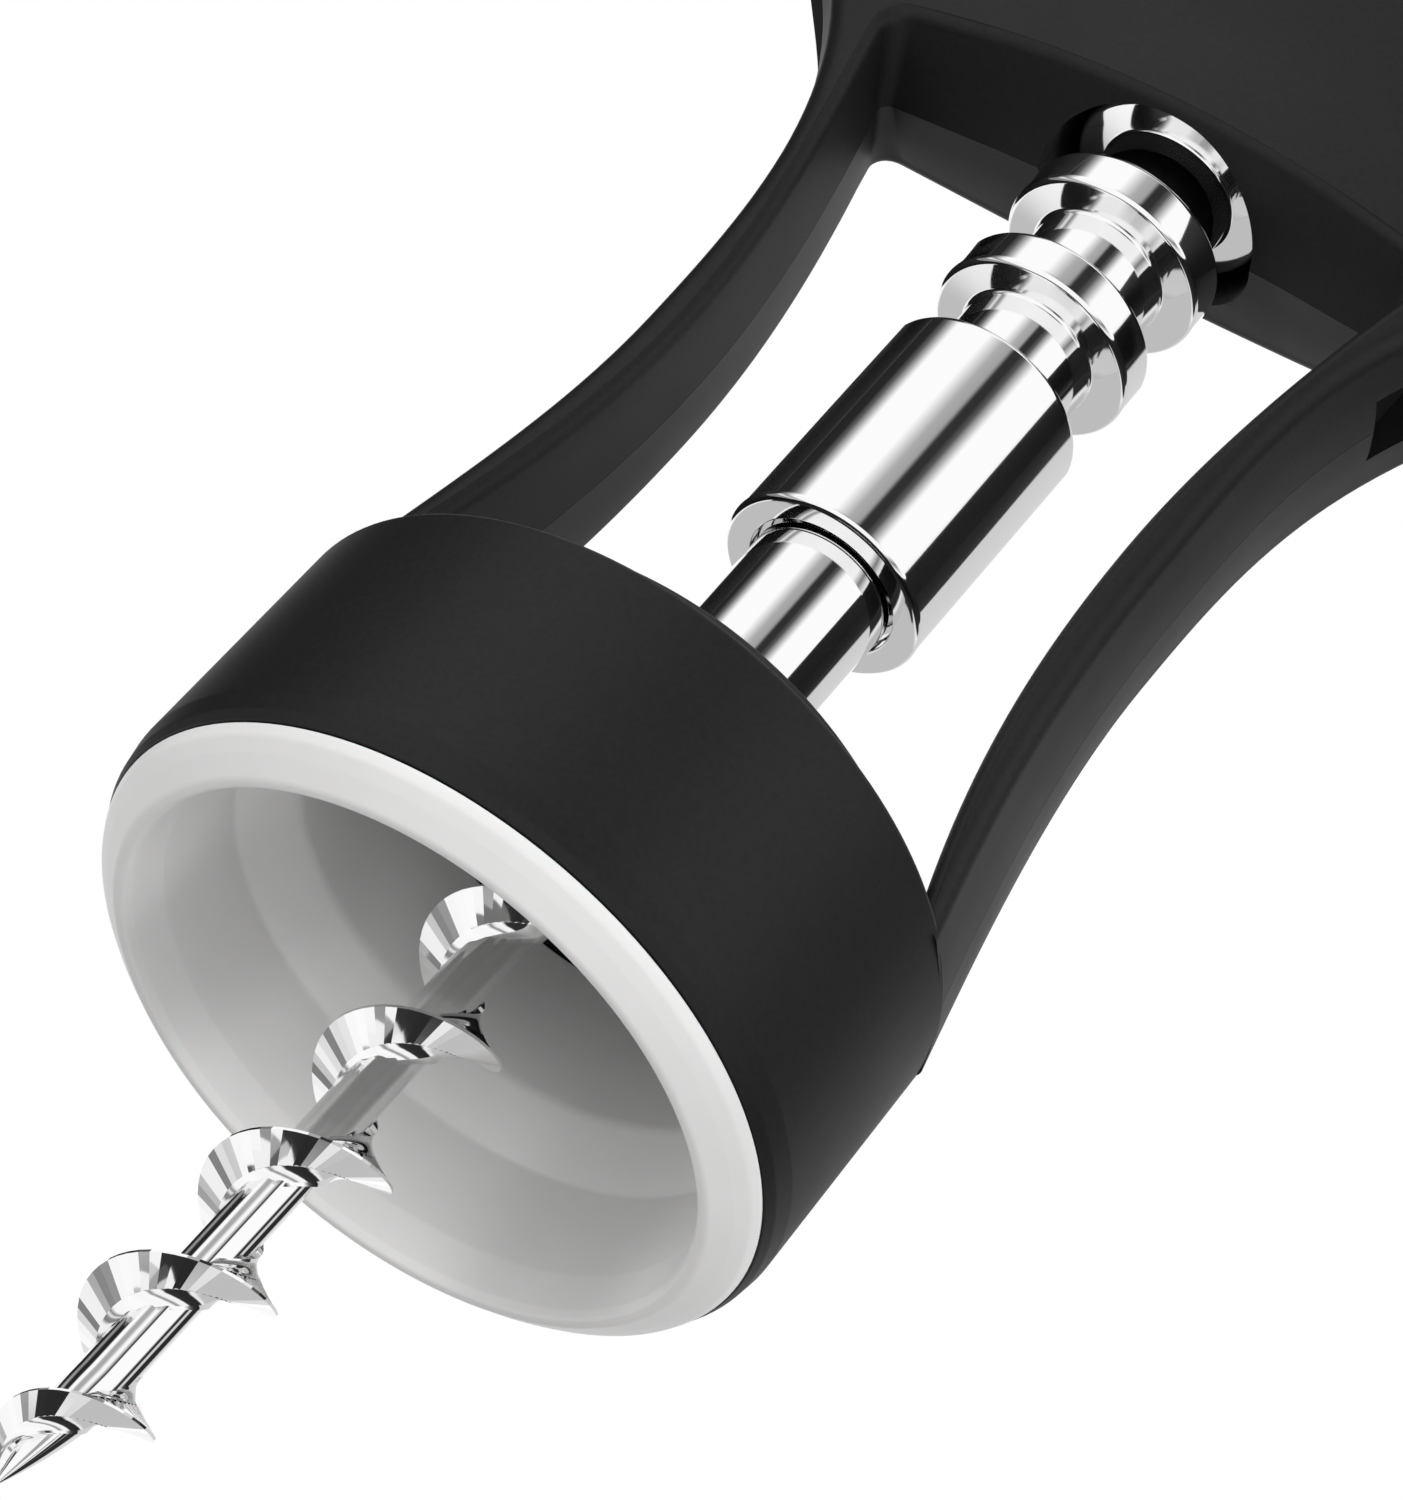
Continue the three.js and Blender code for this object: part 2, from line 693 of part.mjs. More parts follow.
/** One gear tooth about +X, as [x, z] points from root to root. */
function gearTooth() {
  const baseRadius = pitchRadius * Math.cos(pressureAngle);
  const pitchSpace = toothPitch - (toothLand + toothFlank) - gearBacklash;
  const halfAngleAt = (radius) => {
    const angle = Math.acos(Math.min(1, baseRadius / radius));
    return pitchSpace / (2 * pitchRadius) + involute(pressureAngle) - involute(angle);
  };
  const flank = Array.from({ length: arcSteps + 1 }, (_, i) => {
    const radius = mix(Math.max(baseRadius, gearRootRadius), gearTipRadius, i / arcSteps);
    return [radius, halfAngleAt(radius)];
  });
  const footed = [[gearRootRadius - weld, halfAngleAt(baseRadius)], ...flank];
  const point = (sign) => ([radius, half]) => [radius * Math.cos(half), sign * radius * Math.sin(half)];
  return [...footed.map(point(-1)), ...footed.map(point(1)).reverse()];
}

/** Turns [x, z] points about the pivot by degrees. */
function spun(points, degrees) {
  const angle = THREE.MathUtils.degToRad(degrees);
  return points.map(([x, z]) => [
    x * Math.cos(angle) - z * Math.sin(angle),
    x * Math.sin(angle) + z * Math.cos(angle),
  ]);
}

/** The chrome lever: toothed sector, hub, web and the tang inside the grip. */
function leverGear() {
  const half = gearThickness / 2;
  const toothStep = 360 / gearTeethRound;
  const groovesUp = Math.round((pivotHeight - firstTooth) / toothPitch - 1);
  const grooveHeight = firstTooth + toothPitch / 2 + toothPitch * groovesUp;
  const grooveAngle = THREE.MathUtils.radToDeg((grooveHeight - pivotHeight) / pitchRadius);
  const firstAngle = 180 - grooveAngle - leverAngle;
  const angles = Array.from({ length: sectorTeeth }, (_, i) => firstAngle + (i - 1) * toothStep);
  const margin = toothStep / 2;
  const lastAngle = angles[sectorTeeth - 1] + margin;
  const sector = [[0, 0], ...arc([0, 0], gearRootRadius, angles[0] - margin, lastAngle, smallSides)];
  const web = [
    [0, -webHalfWidth],
    [gripStart, -webHalfWidth],
    [gripStart + webHalfWidth, -tangHalfWidth],
    [tangEnd, -tangHalfWidth],
    [tangEnd, tangHalfWidth],
    [gripStart + webHalfWidth, tangHalfWidth],
    [gripStart, webHalfWidth],
    [0, webHalfWidth],
  ];
  const tooth = gearTooth();
  const blank = join(
    plate(sector, -half, half),
    crossBar(hubRadius, 0, 0, -half, half),
    plate(web, -half, half),
    ...angles.map((angle) => plate(spun(tooth, angle), -half, half)),
  );
  const pinHole = crossBar(pinRadius + seatGap, 0, 0, -gearThickness, gearThickness);
  const rivetHole = crossBar(rivetRadius + seatGap, rivetPlace, 0, -gearThickness, gearThickness);
  return cut(blank, pinHole, rivetHole);
}

/** A rounded section of the grip: [u, v] points of a squared oval. */
function gripSection(halfThickness, halfWidth) {
  const squared = (value) => Math.sign(value) * Math.abs(value) ** gripSquareShare;
  return Array.from({ length: smallSides }, (_, i) => {
    const angle = (2 * Math.PI * i) / smallSides;
    return [halfThickness * squared(Math.cos(angle)), halfWidth * squared(Math.sin(angle))];
  });
}

/** How far the grip has filled out, from 0 at the neck to 1 at the palm. */
function gripFullness(place) {
  const share = (place - gripStart) / (gripEnd - gripStart);
  return blend(share, gripSwellStartShare, gripSwellEndShare);
}

const gripThicknessAt = (place) => mix(gripNeckHalfThickness, gripHalfThickness, gripFullness(place));
const gripWidthAt = (place) => mix(gripNeckHalfWidth, gripHalfWidth, gripFullness(place));

/** The soft grip round the lever's tang, slim at the neck and full toward a rounded end. */
function leverGrip() {
  const bodyShares = Array.from({ length: gripSteps + 1 }, (_, i) => i / gripSteps);
  const domeStart = gripEnd - gripDome;
  const lengths = bodyShares.map((share) => mix(gripStart + gripLip, domeStart, share));
  const trims = [[gripStart, gripLip / gripNeckHalfWidth], ...lengths.map((place) => [place, 0])];
  const rings = trims.map(([place, trimShare]) => [
    place,
    gripSection((1 - trimShare) * gripThicknessAt(place), (1 - trimShare) * gripWidthAt(place)),
  ]);
  for (let i = 1; i <= arcSteps; i++) {
    const angle = (Math.PI / 2) * (i / (arcSteps + gripDomeFlatShare));
    const place = domeStart + gripDome * Math.sin(angle);
    const roundShare = Math.cos(angle) ** gripDomeShare;
    rings.push([place, gripSection(roundShare * gripHalfThickness, roundShare * gripHalfWidth)]);
  }
  const skinned = loft(rings.map(([, ring]) => ring), rings.map(([place]) => place));
  const body = solid(skinned.rotateY(Math.PI / 2).rotateX(Math.PI / 2));
  const gap = seatGap;
  const pocket = [
    [gripStart - overrun, -webHalfWidth - gap],
    [gripStart + gap, -webHalfWidth - gap],
    [gripStart + webHalfWidth + gap, -tangHalfWidth - gap],
    [tangEnd + gap, -tangHalfWidth - gap],
    [tangEnd + gap, tangHalfWidth + gap],
    [gripStart + webHalfWidth + gap, tangHalfWidth + gap],
    [gripStart + gap, webHalfWidth + gap],
    [gripStart - overrun, webHalfWidth + gap],
  ];
  const room = plate(pocket, -gearThickness / 2 - gap, gearThickness / 2 + gap);
  const through = 2 * gripHalfThickness;
  const rivetHole = crossBar(rivetRadius + gap, rivetPlace, 0, -through, through);
  return cut(body, room, rivetHole);
}

/** The rivet through grip and tang. */
function gripRivet() {
  const face = gripThicknessAt(rivetPlace) + seatGap;
  const shank = crossBar(rivetRadius, rivetPlace, 0, -face - weld, face + weld);
  const front = crossBar(rivetHeadRadius, rivetPlace, 0, -face - rivetHeadHeight, -face);
  const back = crossBar(rivetHeadRadius, rivetPlace, 0, face, face + rivetHeadHeight);
  return join(shank, front, back);
}

// Handle

/** The chrome hub under the handle. */
function handleHub() {
  return turned([
    [spindleRadius + seatGap, hubBottom],
    [hubBaseRadius - hubRound, hubBottom],
    [hubBaseRadius, hubBottom + hubRound],
    [hubBaseRadius, hubBottom + 2 * hubRound],
    [hubNeckRadius, hubTop - 2 * hubRound],
    [hubNeckRadius, hubTop],
    [spindleRadius + seatGap, hubTop],
  ]);
}

/** The bow's outline as [x, z] points. */
function bowOutline() {
  const side = sweepCurve([bowBottomHalfWidth, bowBottom], 0, [bowHalfWidth, bowMiddle], 0);
  const dome = Array.from({ length: 2 * outlineSteps + 1 }, (_, i) => {
    const angle = (Math.PI * i) / (2 * outlineSteps);
    return [bowHalfWidth * Math.cos(angle), bowMiddle + (bowTop - bowMiddle) * Math.sin(angle)];
  });
  return [...side.slice(0, -1), ...dome, ...mirrored(side.slice(0, -1))];
}

/** The eye's outline as [x, z] points, drawn in by an inset. */
function eyeOutline(inset) {
  const middle = (eyeBottom + eyeTop) / 2;
  const halfHeight = (eyeTop - eyeBottom) / 2 - inset;
  const halfWidth = eyeHalfWidth - inset;
  return Array.from({ length: 4 * outlineSteps }, (_, i) => {
    const angle = (2 * Math.PI * i) / (4 * outlineSteps);
    return [halfWidth * Math.cos(angle), middle + halfHeight * Math.sin(angle)];
  });
}

/** The soft bow with its eye, a bore for the spindle and a cross hole. */
function handleBow() {
  return cut(
    plate(bowOutline(), -bowHalfDepth, bowHalfDepth, bowEdge),
    plate(eyeOutline(0), -2 * bowHalfDepth, 2 * bowHalfDepth),
    bar(spindleRadius + seatGap, bowBottom - overrun, spindleTop + seatGap),
    crossBar(crossPinRadius + seatGap, 0, crossPinHeight, -2 * bowHalfDepth, 2 * bowHalfDepth),
  );
}

/** The steel cap lifter that lines the eye. */
function capLifter() {
  const ring = plate(eyeOutline(seatGap), -plateHalfThickness, plateHalfThickness);
  const inner = eyeOutline(seatGap + plateRim);
  const lip = [
    [-lifterHalfWidth, eyeBottom + seatGap + plateRim / 2],
    [lifterHalfWidth, eyeBottom + seatGap + plateRim / 2],
    [lifterHalfWidth / 2, eyeBottom + lifterHeight],
    [-lifterHalfWidth / 2, eyeBottom + lifterHeight],
  ];
  const opening = plate(inner, -2 * plateHalfThickness, 2 * plateHalfThickness);
  return join(cut(ring, opening), plate(lip, -plateHalfThickness, plateHalfThickness));
}

/** The pin that locks bow and spindle together. */
function crossPin() {
  return crossBar(crossPinRadius, 0, crossPinHeight, -bowHalfDepth, bowHalfDepth);
}

// Materials

/** A material of one colour. */
function paint(color, roughness, metalness) {
  return new THREE.MeshStandardMaterial({ color, roughness, metalness });
}

const softBlack = () => paint(0x2b2b2c, 0.55, 0);
const whiteNylon = () => paint(0xe2e2df, 0.45, 0);
const chrome = () => paint(0xd8d9db, 0.08, 1);
const steel = () => paint(0xc4c6c9, 0.25, 1);

// Scene graph

const corkscrew = new THREE.Group();

function addNode(parent, name, body, material) {
  const node = new THREE.Mesh(geometryOf(body), material);
  node.name = name;
  parent.add(node);
}

const body = new THREE.Group();
addNode(body, "front_shell", frontShell, softBlack());
addNode(body, "back_shell", backShell, softBlack());
addNode(body, "bell_insert", bellInsert(), whiteNylon());
addNode(body, "head_collar", headCollar(), chrome());
corkscrew.add(body);

const rack = new THREE.Group();
addNode(rack, "rack_sleeve", rackSleeve(), chrome());
corkscrew.add(rack);

const spindle = new THREE.Group();
const spindleHole = crossBar(crossPinRadius + seatGap, 0, crossPinHeight, -shaftRadius, shaftRadius);
addNode(spindle, "spindle_shaft", cut(spindleShaft(), spindleHole), chrome());
addNode(spindle, "worm", worm(), chrome());
addNode(spindle, "handle_hub", handleHub(), chrome());
addNode(spindle, "handle_bow", handleBow(), softBlack());
addNode(spindle, "cap_lifter", capLifter(), steel());
addNode(spindle, "handle_cross_pin", crossPin(), steel());
corkscrew.add(spindle);

/** One wing: the pieces are built along +X, turned to the rest angle and set on the pivot. */
function addLever(side, word) {
  addNode(body, `lever_pin_${word}`, leverPin(side), steel());
  addNode(body, `pin_cap_${word}`, pinCap(side), steel());
  const placed = (solidBody) => {
    const geometry = geometryOf(solidBody);
    geometry.rotateY(-THREE.MathUtils.degToRad(leverAngle));
    geometry.translate(pivotHalfSpacing, 0, pivotHeight);
    if (side < 0) geometry.rotateZ(Math.PI);
    return solid(geometry);
  };
  const lever = new THREE.Group();
  addNode(lever, `lever_gear_${word}`, placed(leverGear()), chrome());
  addNode(lever, `lever_grip_${word}`, placed(leverGrip()), softBlack());
  addNode(lever, `grip_rivet_${word}`, placed(gripRivet()), steel());
  corkscrew.add(lever);
}

addLever(-1, "left");
addLever(1, "right");

export default corkscrew;
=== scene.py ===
"""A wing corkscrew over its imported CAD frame: soft black body, white bell insert, chrome rack and worm.

Sizes in this file are millimetres in the frame's axes; a piece is turned to metres when it is finished.
"""

import logging
import math
from dataclasses import dataclass
from enum import Enum
from typing import Iterable, Sequence

import bmesh
import bpy
from bmesh.types import BMEdge, BMesh, BMVert
from bpy.types import ID, Material, Mesh, Node, NodeSocket, NodeTree, Object, World
from mathutils import Matrix, Vector


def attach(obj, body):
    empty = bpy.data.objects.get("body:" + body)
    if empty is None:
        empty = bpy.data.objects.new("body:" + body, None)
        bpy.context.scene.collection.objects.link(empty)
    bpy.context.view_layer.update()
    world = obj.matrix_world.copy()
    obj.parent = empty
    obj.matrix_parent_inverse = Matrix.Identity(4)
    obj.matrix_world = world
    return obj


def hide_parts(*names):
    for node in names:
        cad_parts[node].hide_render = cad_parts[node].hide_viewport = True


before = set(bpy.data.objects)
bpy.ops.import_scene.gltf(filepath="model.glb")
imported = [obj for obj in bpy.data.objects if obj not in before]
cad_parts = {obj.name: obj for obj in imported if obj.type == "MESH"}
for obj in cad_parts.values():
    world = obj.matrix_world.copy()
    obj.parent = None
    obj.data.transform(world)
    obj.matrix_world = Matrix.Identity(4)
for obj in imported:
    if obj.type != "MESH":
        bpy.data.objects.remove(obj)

log = logging.getLogger("corkscrew")

MM = 0.001
MERGE = 1e-4

# The share of a side that one rounded corner may take.
CORNER_SHARE = 0.49

# A colour Mix node's sockets by place, because its other types have sockets of the same names.
MIX_FACTOR, MIX_A, MIX_B, MIX_RESULT = 0, 6, 7, 2

# The levers' pivots, on which the body's pockets and the wings are both set out.
PIVOT_SPACING = 17.90521
PIVOT_HEIGHT = 87.0

Point = tuple[float, float]
Point3 = tuple[float, float, float]
Corner = tuple[float, float, float]
Profile = list[Point]


class Part(Enum):
    """The bodies of the corkscrew that move against each other."""

    BODY = "frame"
    RACK = "rack"
    SPINDLE = "spindle"
    LEVER_LEFT = "lever_left"
    LEVER_RIGHT = "lever_right"


class Side(Enum):
    """Which wing a lever is on; the value is the sign of its X."""

    LEFT = -1
    RIGHT = 1

    @property
    def word(self) -> str:
        """The side's word in node names."""
        return self.name.lower()

    @property
    def part(self) -> Part:
        """The moving body of this side's lever."""
        return Part.LEVER_LEFT if self is Side.LEFT else Part.LEVER_RIGHT


# Curves and profiles


def mix(low: float, high: float, share: float) -> float:
    """The value at a share of the way from low to high."""
    return low + (high - low) * share


def smooth(value: float, low: float, high: float) -> float:
    """0 below low, 1 above high and an S-curve between."""
    share = min(1.0, max(0.0, (value - low) / (high - low)))
    return share * share * (3 - 2 * share)


def bezier(points: Sequence[Point], steps: int) -> Profile:
    """Points on a Bezier curve.

    Args:
        points: its control points.
        steps: how many steps the curve is cut into.

    Returns:
        steps + 1 points, both ends among them.
    """
    degree = len(points) - 1
    out = []
    for i in range(steps + 1):
        t = i / steps
        weights = [math.comb(degree, k) * (1 - t) ** (degree - k) * t**k for k in range(degree + 1)]
        out.append(tuple(sum(w * p[axis] for w, p in zip(weights, points)) for axis in (0, 1)))
    return out


def sweep(start: Point, slope0: float, end: Point, slope1: float, steps: int) -> Profile:
    """A smooth side line between two (width, height) points.

    Args:
        start: lower point.
        slope0: width gained per height there.
        end: upper point.
        slope1: width gained per height there.
        steps: how many steps it has.

    Returns:
        The line's points from start to end.
    """
    third = (end[1] - start[1]) / 3
    first = (start[0] + slope0 * third, start[1] + third)
    second = (end[0] - slope1 * third, end[1] - third)
    return bezier((start, first, second, end), steps)


def arc(centre: Point, radius: float, start: float, end: float, steps: int) -> Profile:
    """Points on an arc.

    Args:
        centre: the arc's centre.
        radius: its radius.
        start: its first angle, in degrees from the first axis.
        end: its last angle.
        steps: how many steps the arc is cut into.

    Returns:
        steps + 1 points, both ends among them.
    """
    out = []
    for i in range(steps + 1):
        angle = math.radians(mix(start, end, i / steps))
        out.append((centre[0] + radius * math.cos(angle), centre[1] + radius * math.sin(angle)))
    return out


def rounded(corners: Sequence[Corner], steps: int = 5, closed: bool = False) -> Profile:
    """A line through corners that are each rounded with a radius of their own.

    Args:
        corners: (x, y, radius) points; a radius of 0 keeps the corner sharp.
        steps: how many steps a rounded corner has.
        closed: whether the last corner is joined to the first.

    Returns:
        The points of the rounded line.
    """
    out: Profile = []
    count = len(corners)
    for i, (x, y, radius) in enumerate(corners):
        if radius <= 0 or (not closed and i in (0, count - 1)):
            out.append((x, y))
            continue
        here = Vector((x, y))
        before = Vector(corners[i - 1][:2]) - here
        after = Vector(corners[(i + 1) % count][:2]) - here
        half = before.angle(after) / 2
        back = min(radius / math.tan(half), before.length * CORNER_SHARE, after.length * CORNER_SHARE)
        start = here + before.normalized() * back
        end = here + after.normalized() * back
        weight = math.sin(half)
        for k in range(steps + 1):
            t = k / steps
            wa, wb, wc = (1 - t) ** 2, 2 * t * (1 - t) * weight, t * t
            place = (start * wa + here * wb + end * wc) / (wa + wb + wc)
            out.append((place.x, place.y))
    return out


# Mesh work


def mesh_from(bm: BMesh, name: str) -> Mesh:
    """Makes a mesh from a bmesh.

    Args:
        bm: the shape; it is freed.
        name: the mesh's name.

    Returns:
        The mesh.
    """
    mesh = bpy.data.meshes.new(name)
    bm.to_mesh(mesh)
    bm.free()
    return mesh


def linked(name: str, data: ID) -> Object:
    """Puts a new object into the scene.

    Args:
        name: its name.
        data: the mesh, lamp or camera that it holds.

    Returns:
        The object.
    """
    obj = bpy.data.objects.new(name, data)
    bpy.context.scene.collection.objects.link(obj)
    return obj


def turned(profile: Sequence[Point], steps: int = 128, closed: bool = True) -> BMesh:
    """A turned piece about +Z.

    Args:
        profile: (radius, height) points.
        steps: facets round it.
        closed: whether the profile is a ring rather than a line that ends on the axis.

    Returns:
        The piece's bmesh.
    """
    bm = bmesh.new()
    verts = [bm.verts.new((radius, 0.0, height)) for radius, height in profile]
    for a, b in zip(verts, verts[1:]):
        bm.edges.new((a, b))
    if closed:
        bm.edges.new((verts[-1], verts[0]))
    around = dict(cent=(0, 0, 0), axis=(0, 0, 1), angle=2 * math.pi, steps=steps, use_merge=True)
    bmesh.ops.spin(bm, geom=bm.verts[:] + bm.edges[:], **around)
    bmesh.ops.remove_doubles(bm, verts=bm.verts[:], dist=MERGE)
    bmesh.ops.recalc_face_normals(bm, faces=bm.faces[:])
    return bm


def rod(radius: float, low: float, high: float, steps: int, widening: float = 0.0) -> BMesh:
    """A solid rod about +Z between two heights, wider at its top by the widening."""
    return turned([(0, low), (radius, low), (radius + widening, high), (0, high)], steps, closed=False)


def lofted(rings: Sequence[Sequence[Point3]], endless: bool = False) -> BMesh:
    """A skin over rings of points: the first ring is drawn out to each of the others.

    Args:
        rings: rings of equally many points.
        endless: whether the last ring meets the first, as on a bow; the ends are closed otherwise.

    Returns:
        The skin's bmesh.
    """
    bm = bmesh.new()
    verts = [bm.verts.new(place) for place in rings[0]]
    edges = [bm.edges.new((verts[i - 1], verts[i])) for i in range(len(verts))]
    first = edges
    for ring in rings[1:]:
        made = bmesh.ops.extrude_edge_only(bm, edges=edges)
        fresh = {item for item in made["geom"] if isinstance(item, BMVert)}
        verts = [next(e.other_vert(v) for e in v.link_edges if e.other_vert(v) in fresh) for v in verts]
        edges = [bm.edges.get((verts[i - 1], verts[i])) for i in range(len(verts))]
        for vert, place in zip(verts, ring):
            vert.co = place
    if endless:
        bmesh.ops.bridge_loops(bm, edges=first + edges)
    else:
        bmesh.ops.holes_fill(bm, edges=first + edges, sides=0)
    bmesh.ops.recalc_face_normals(bm, faces=bm.faces[:])
    return bm


def slab(outline: Sequence[Point], low: float, high: float, edge: float = 0.0) -> BMesh:
    """An (x, z) outline given thickness along Y, with its rims rounded.

    Args:
        outline: the outline's points.
        low: lowest Y.
        high: highest Y.
        edge: radius of the rims.

    Returns:
        The slab's bmesh.
    """
    bm = bmesh.new()
    face = bm.faces.new([bm.verts.new((x, low, z)) for x, z in outline])
    made = bmesh.ops.extrude_face_region(bm, geom=[face])
    fresh = [item for item in made["geom"] if isinstance(item, BMVert)]
    bmesh.ops.translate(bm, vec=(0, high - low, 0), verts=fresh)
    bmesh.ops.recalc_face_normals(bm, faces=bm.faces[:])
    if edge > 0:
        rims = [e for e in bm.edges if abs(e.verts[0].co.y - e.verts[1].co.y) < MERGE]
        bmesh.ops.bevel(bm, geom=rims, offset=edge, affect="EDGES", segments=3, profile=0.5, material=-1)
    return bm


def band(outer: Profile, inner: Profile, half: float, rounds: Point, steps: int, crown: float = 0.0) -> BMesh:
    """An endless band between two outlines with the same number of points.

    Args:
        outer: the outer outline's (x, z) points.
        inner: the inner outline's.
        half: half its depth along Y.
        rounds: the radii of its inner and its outer edges.
        steps: steps of a rounded edge.
        crown: the share of its depth that is lost toward both outlines.

    Returns:
        The band's bmesh.
    """
    rings = []
    for here, there in zip(inner, outer):
        start = Vector(here)
        gap = Vector(there) - start
        wide = gap.length
        along = gap.normalized()
        near, far = rounds
        corners = [(0, -half, near), (wide, -half, far), (wide, half, far), (0, half, near)]
        ring = []
        for u, y in rounded(corners, steps, closed=True):
            place = start + along * u
            ring.append((place.x, y * (1 - crown * (2 * u / wide - 1) ** 2), place.y))
        rings.append(ring)
    return lofted(rings, endless=True)


def added(*pieces: BMesh) -> BMesh:
    """Puts several closed shells into one bmesh.

    Args:
        pieces: the shells; all but the first are freed.

    Returns:
        The first shell's bmesh, with the others in it.
    """
    whole = pieces[0]
    for piece in pieces[1:]:
        spare = mesh_from(piece, "spare")
        whole.from_mesh(spare)
        bpy.data.meshes.remove(spare)
    return whole


def carved(bm: BMesh, cutters: Iterable[BMesh]) -> BMesh:
    """Takes cutters away from a closed shell, one after another.

    Args:
        bm: the shell; it is freed.
        cutters: closed shells; they are freed.

    Returns:
        What is left, as a new bmesh.
    """
    blank = linked("blank", mesh_from(bm, "blank"))
    tools = [linked("cutter", mesh_from(cutter, "cutter")) for cutter in cutters]
    for tool in tools:
        modifier = blank.modifiers.new("carve", "BOOLEAN")
        modifier.operation = "DIFFERENCE"
        modifier.solver = "EXACT"
        modifier.object = tool
    depsgraph = bpy.context.evaluated_depsgraph_get()
    mesh = bpy.data.meshes.new_from_object(blank.evaluated_get(depsgraph))
    left = bmesh.new()
    left.from_mesh(mesh)
    spares = [mesh] + [obj.data for obj in (blank, *tools)]
    for obj in (blank, *tools):
        bpy.data.objects.remove(obj)
    for spare in spares:
        bpy.data.meshes.remove(spare)
    return left


def crosswise(bm: BMesh, x: float, z: float, back: bool = False) -> BMesh:
    """Lays a piece turned about +Z along Y.

    Args:
        bm: the piece; it is moved.
        x: where its axis goes.
        z: where its axis goes.
        back: whether its top is at the back rather than at the front.

    Returns:
        The same bmesh.
    """
    quarter = -math.pi / 2 if back else math.pi / 2
    bmesh.ops.rotate(bm, cent=(0, 0, 0), matrix=Matrix.Rotation(quarter, 3, "X"), verts=bm.verts[:])
    bmesh.ops.translate(bm, vec=(x, 0, z), verts=bm.verts[:])
    return bm


# Finishes


def linear(code: str) -> tuple[float, float, float, float]:
    """Turns an sRGB colour to linear.

    Args:
        code: the colour as hash and six hex digits.

    Returns:
        Its linear red, green and blue, and an alpha of 1.
    """
    shares = [int(code[i : i + 2], 16) / 255 for i in (1, 3, 5)]
    red, green, blue = (s / 12.92 if s <= 0.04045 else ((s + 0.055) / 1.055) ** 2.4 for s in shares)
    return red, green, blue, 1.0


def empty_tree(owner: Material | World) -> NodeTree:
    """Switches a node tree on and clears it.

    Args:
        owner: whose tree it is.

    Returns:
        The tree.
    """
    owner.use_nodes = True
    owner.node_tree.nodes.clear()
    return owner.node_tree


def add_node(
    tree: NodeTree,
    kind: str,
    sets: dict[str | int, object] | None = None,
    links: dict[str | int, NodeSocket] | None = None,
) -> Node:
    """Adds a node with its settings and links.

    Args:
        tree: the node tree.
        kind: the node's type name.
        sets: values by attribute name, or by an input's name or place.
        links: output sockets by an input's name or place.

    Returns:
        The new node.
    """
    node = tree.nodes.new(kind)
    for name, value in (sets or {}).items():
        if isinstance(name, str) and hasattr(node, name):
            setattr(node, name, value)
        else:
            node.inputs[name].default_value = value
    for name, socket in (links or {}).items():
        tree.links.new(socket, node.inputs[name])
    return node


@dataclass(frozen=True)
class Finish:
    """What all finishes share: the record's slot, a broad cloud and a fine grain.

    cloud and grain are how wide one patch of each is, stretch draws the grain out, and bump is its height.
    """

    name: str
    slot: str
    cloud: float = 6.0
    grain: float = 0.5
    stretch: Point3 = (1.0, 1.0, 1.0)
    bump: float = 0.01
    bump_strength: float = 0.3

    def material(self) -> Material:
        """Makes the finish's material when it is first asked for.

        Returns:
            The material, the same one each time.
        """
        made = bpy.data.materials.get(self.name)
        if made is None:
            made = bpy.data.materials.new(self.name)
            tree = empty_tree(made)
            shader = self.shader(tree, *self.patterns(tree))
            add_node(tree, "ShaderNodeOutputMaterial", links={"Surface": shader.outputs["BSDF"]})
        return made

    def patterns(self, tree: NodeTree) -> tuple[NodeSocket, NodeSocket, NodeSocket]:
        """Adds the patterns, on Object coordinates.

        Args:
            tree: the material's node tree.

        Returns:
            The cloud, the grain and the normals that the grain gives.
        """
        place = add_node(tree, "ShaderNodeTexCoord").outputs["Object"]
        drawn = add_node(tree, "ShaderNodeMapping", {"Scale": self.stretch}, {"Vector": place}).outputs[0]
        cloud, grain = (
            add_node(tree, "ShaderNodeTexNoise", {"Scale": 1 / (size * MM), "Detail": detail}, {"Vector": at})
            for size, detail, at in ((self.cloud, 3.0, place), (self.grain, 2.0, drawn))
        )
        heights = {"Strength": self.bump_strength, "Distance": self.bump * MM}
        lifted = add_node(tree, "ShaderNodeBump", heights, {"Height": grain.outputs["Fac"]})
        return cloud.outputs["Fac"], grain.outputs["Fac"], lifted.outputs["Normal"]

    def shader(self, tree: NodeTree, cloud: NodeSocket, grain: NodeSocket, normal: NodeSocket) -> Node:
        """Adds the finish's shader; each finish has its own."""
        raise NotImplementedError


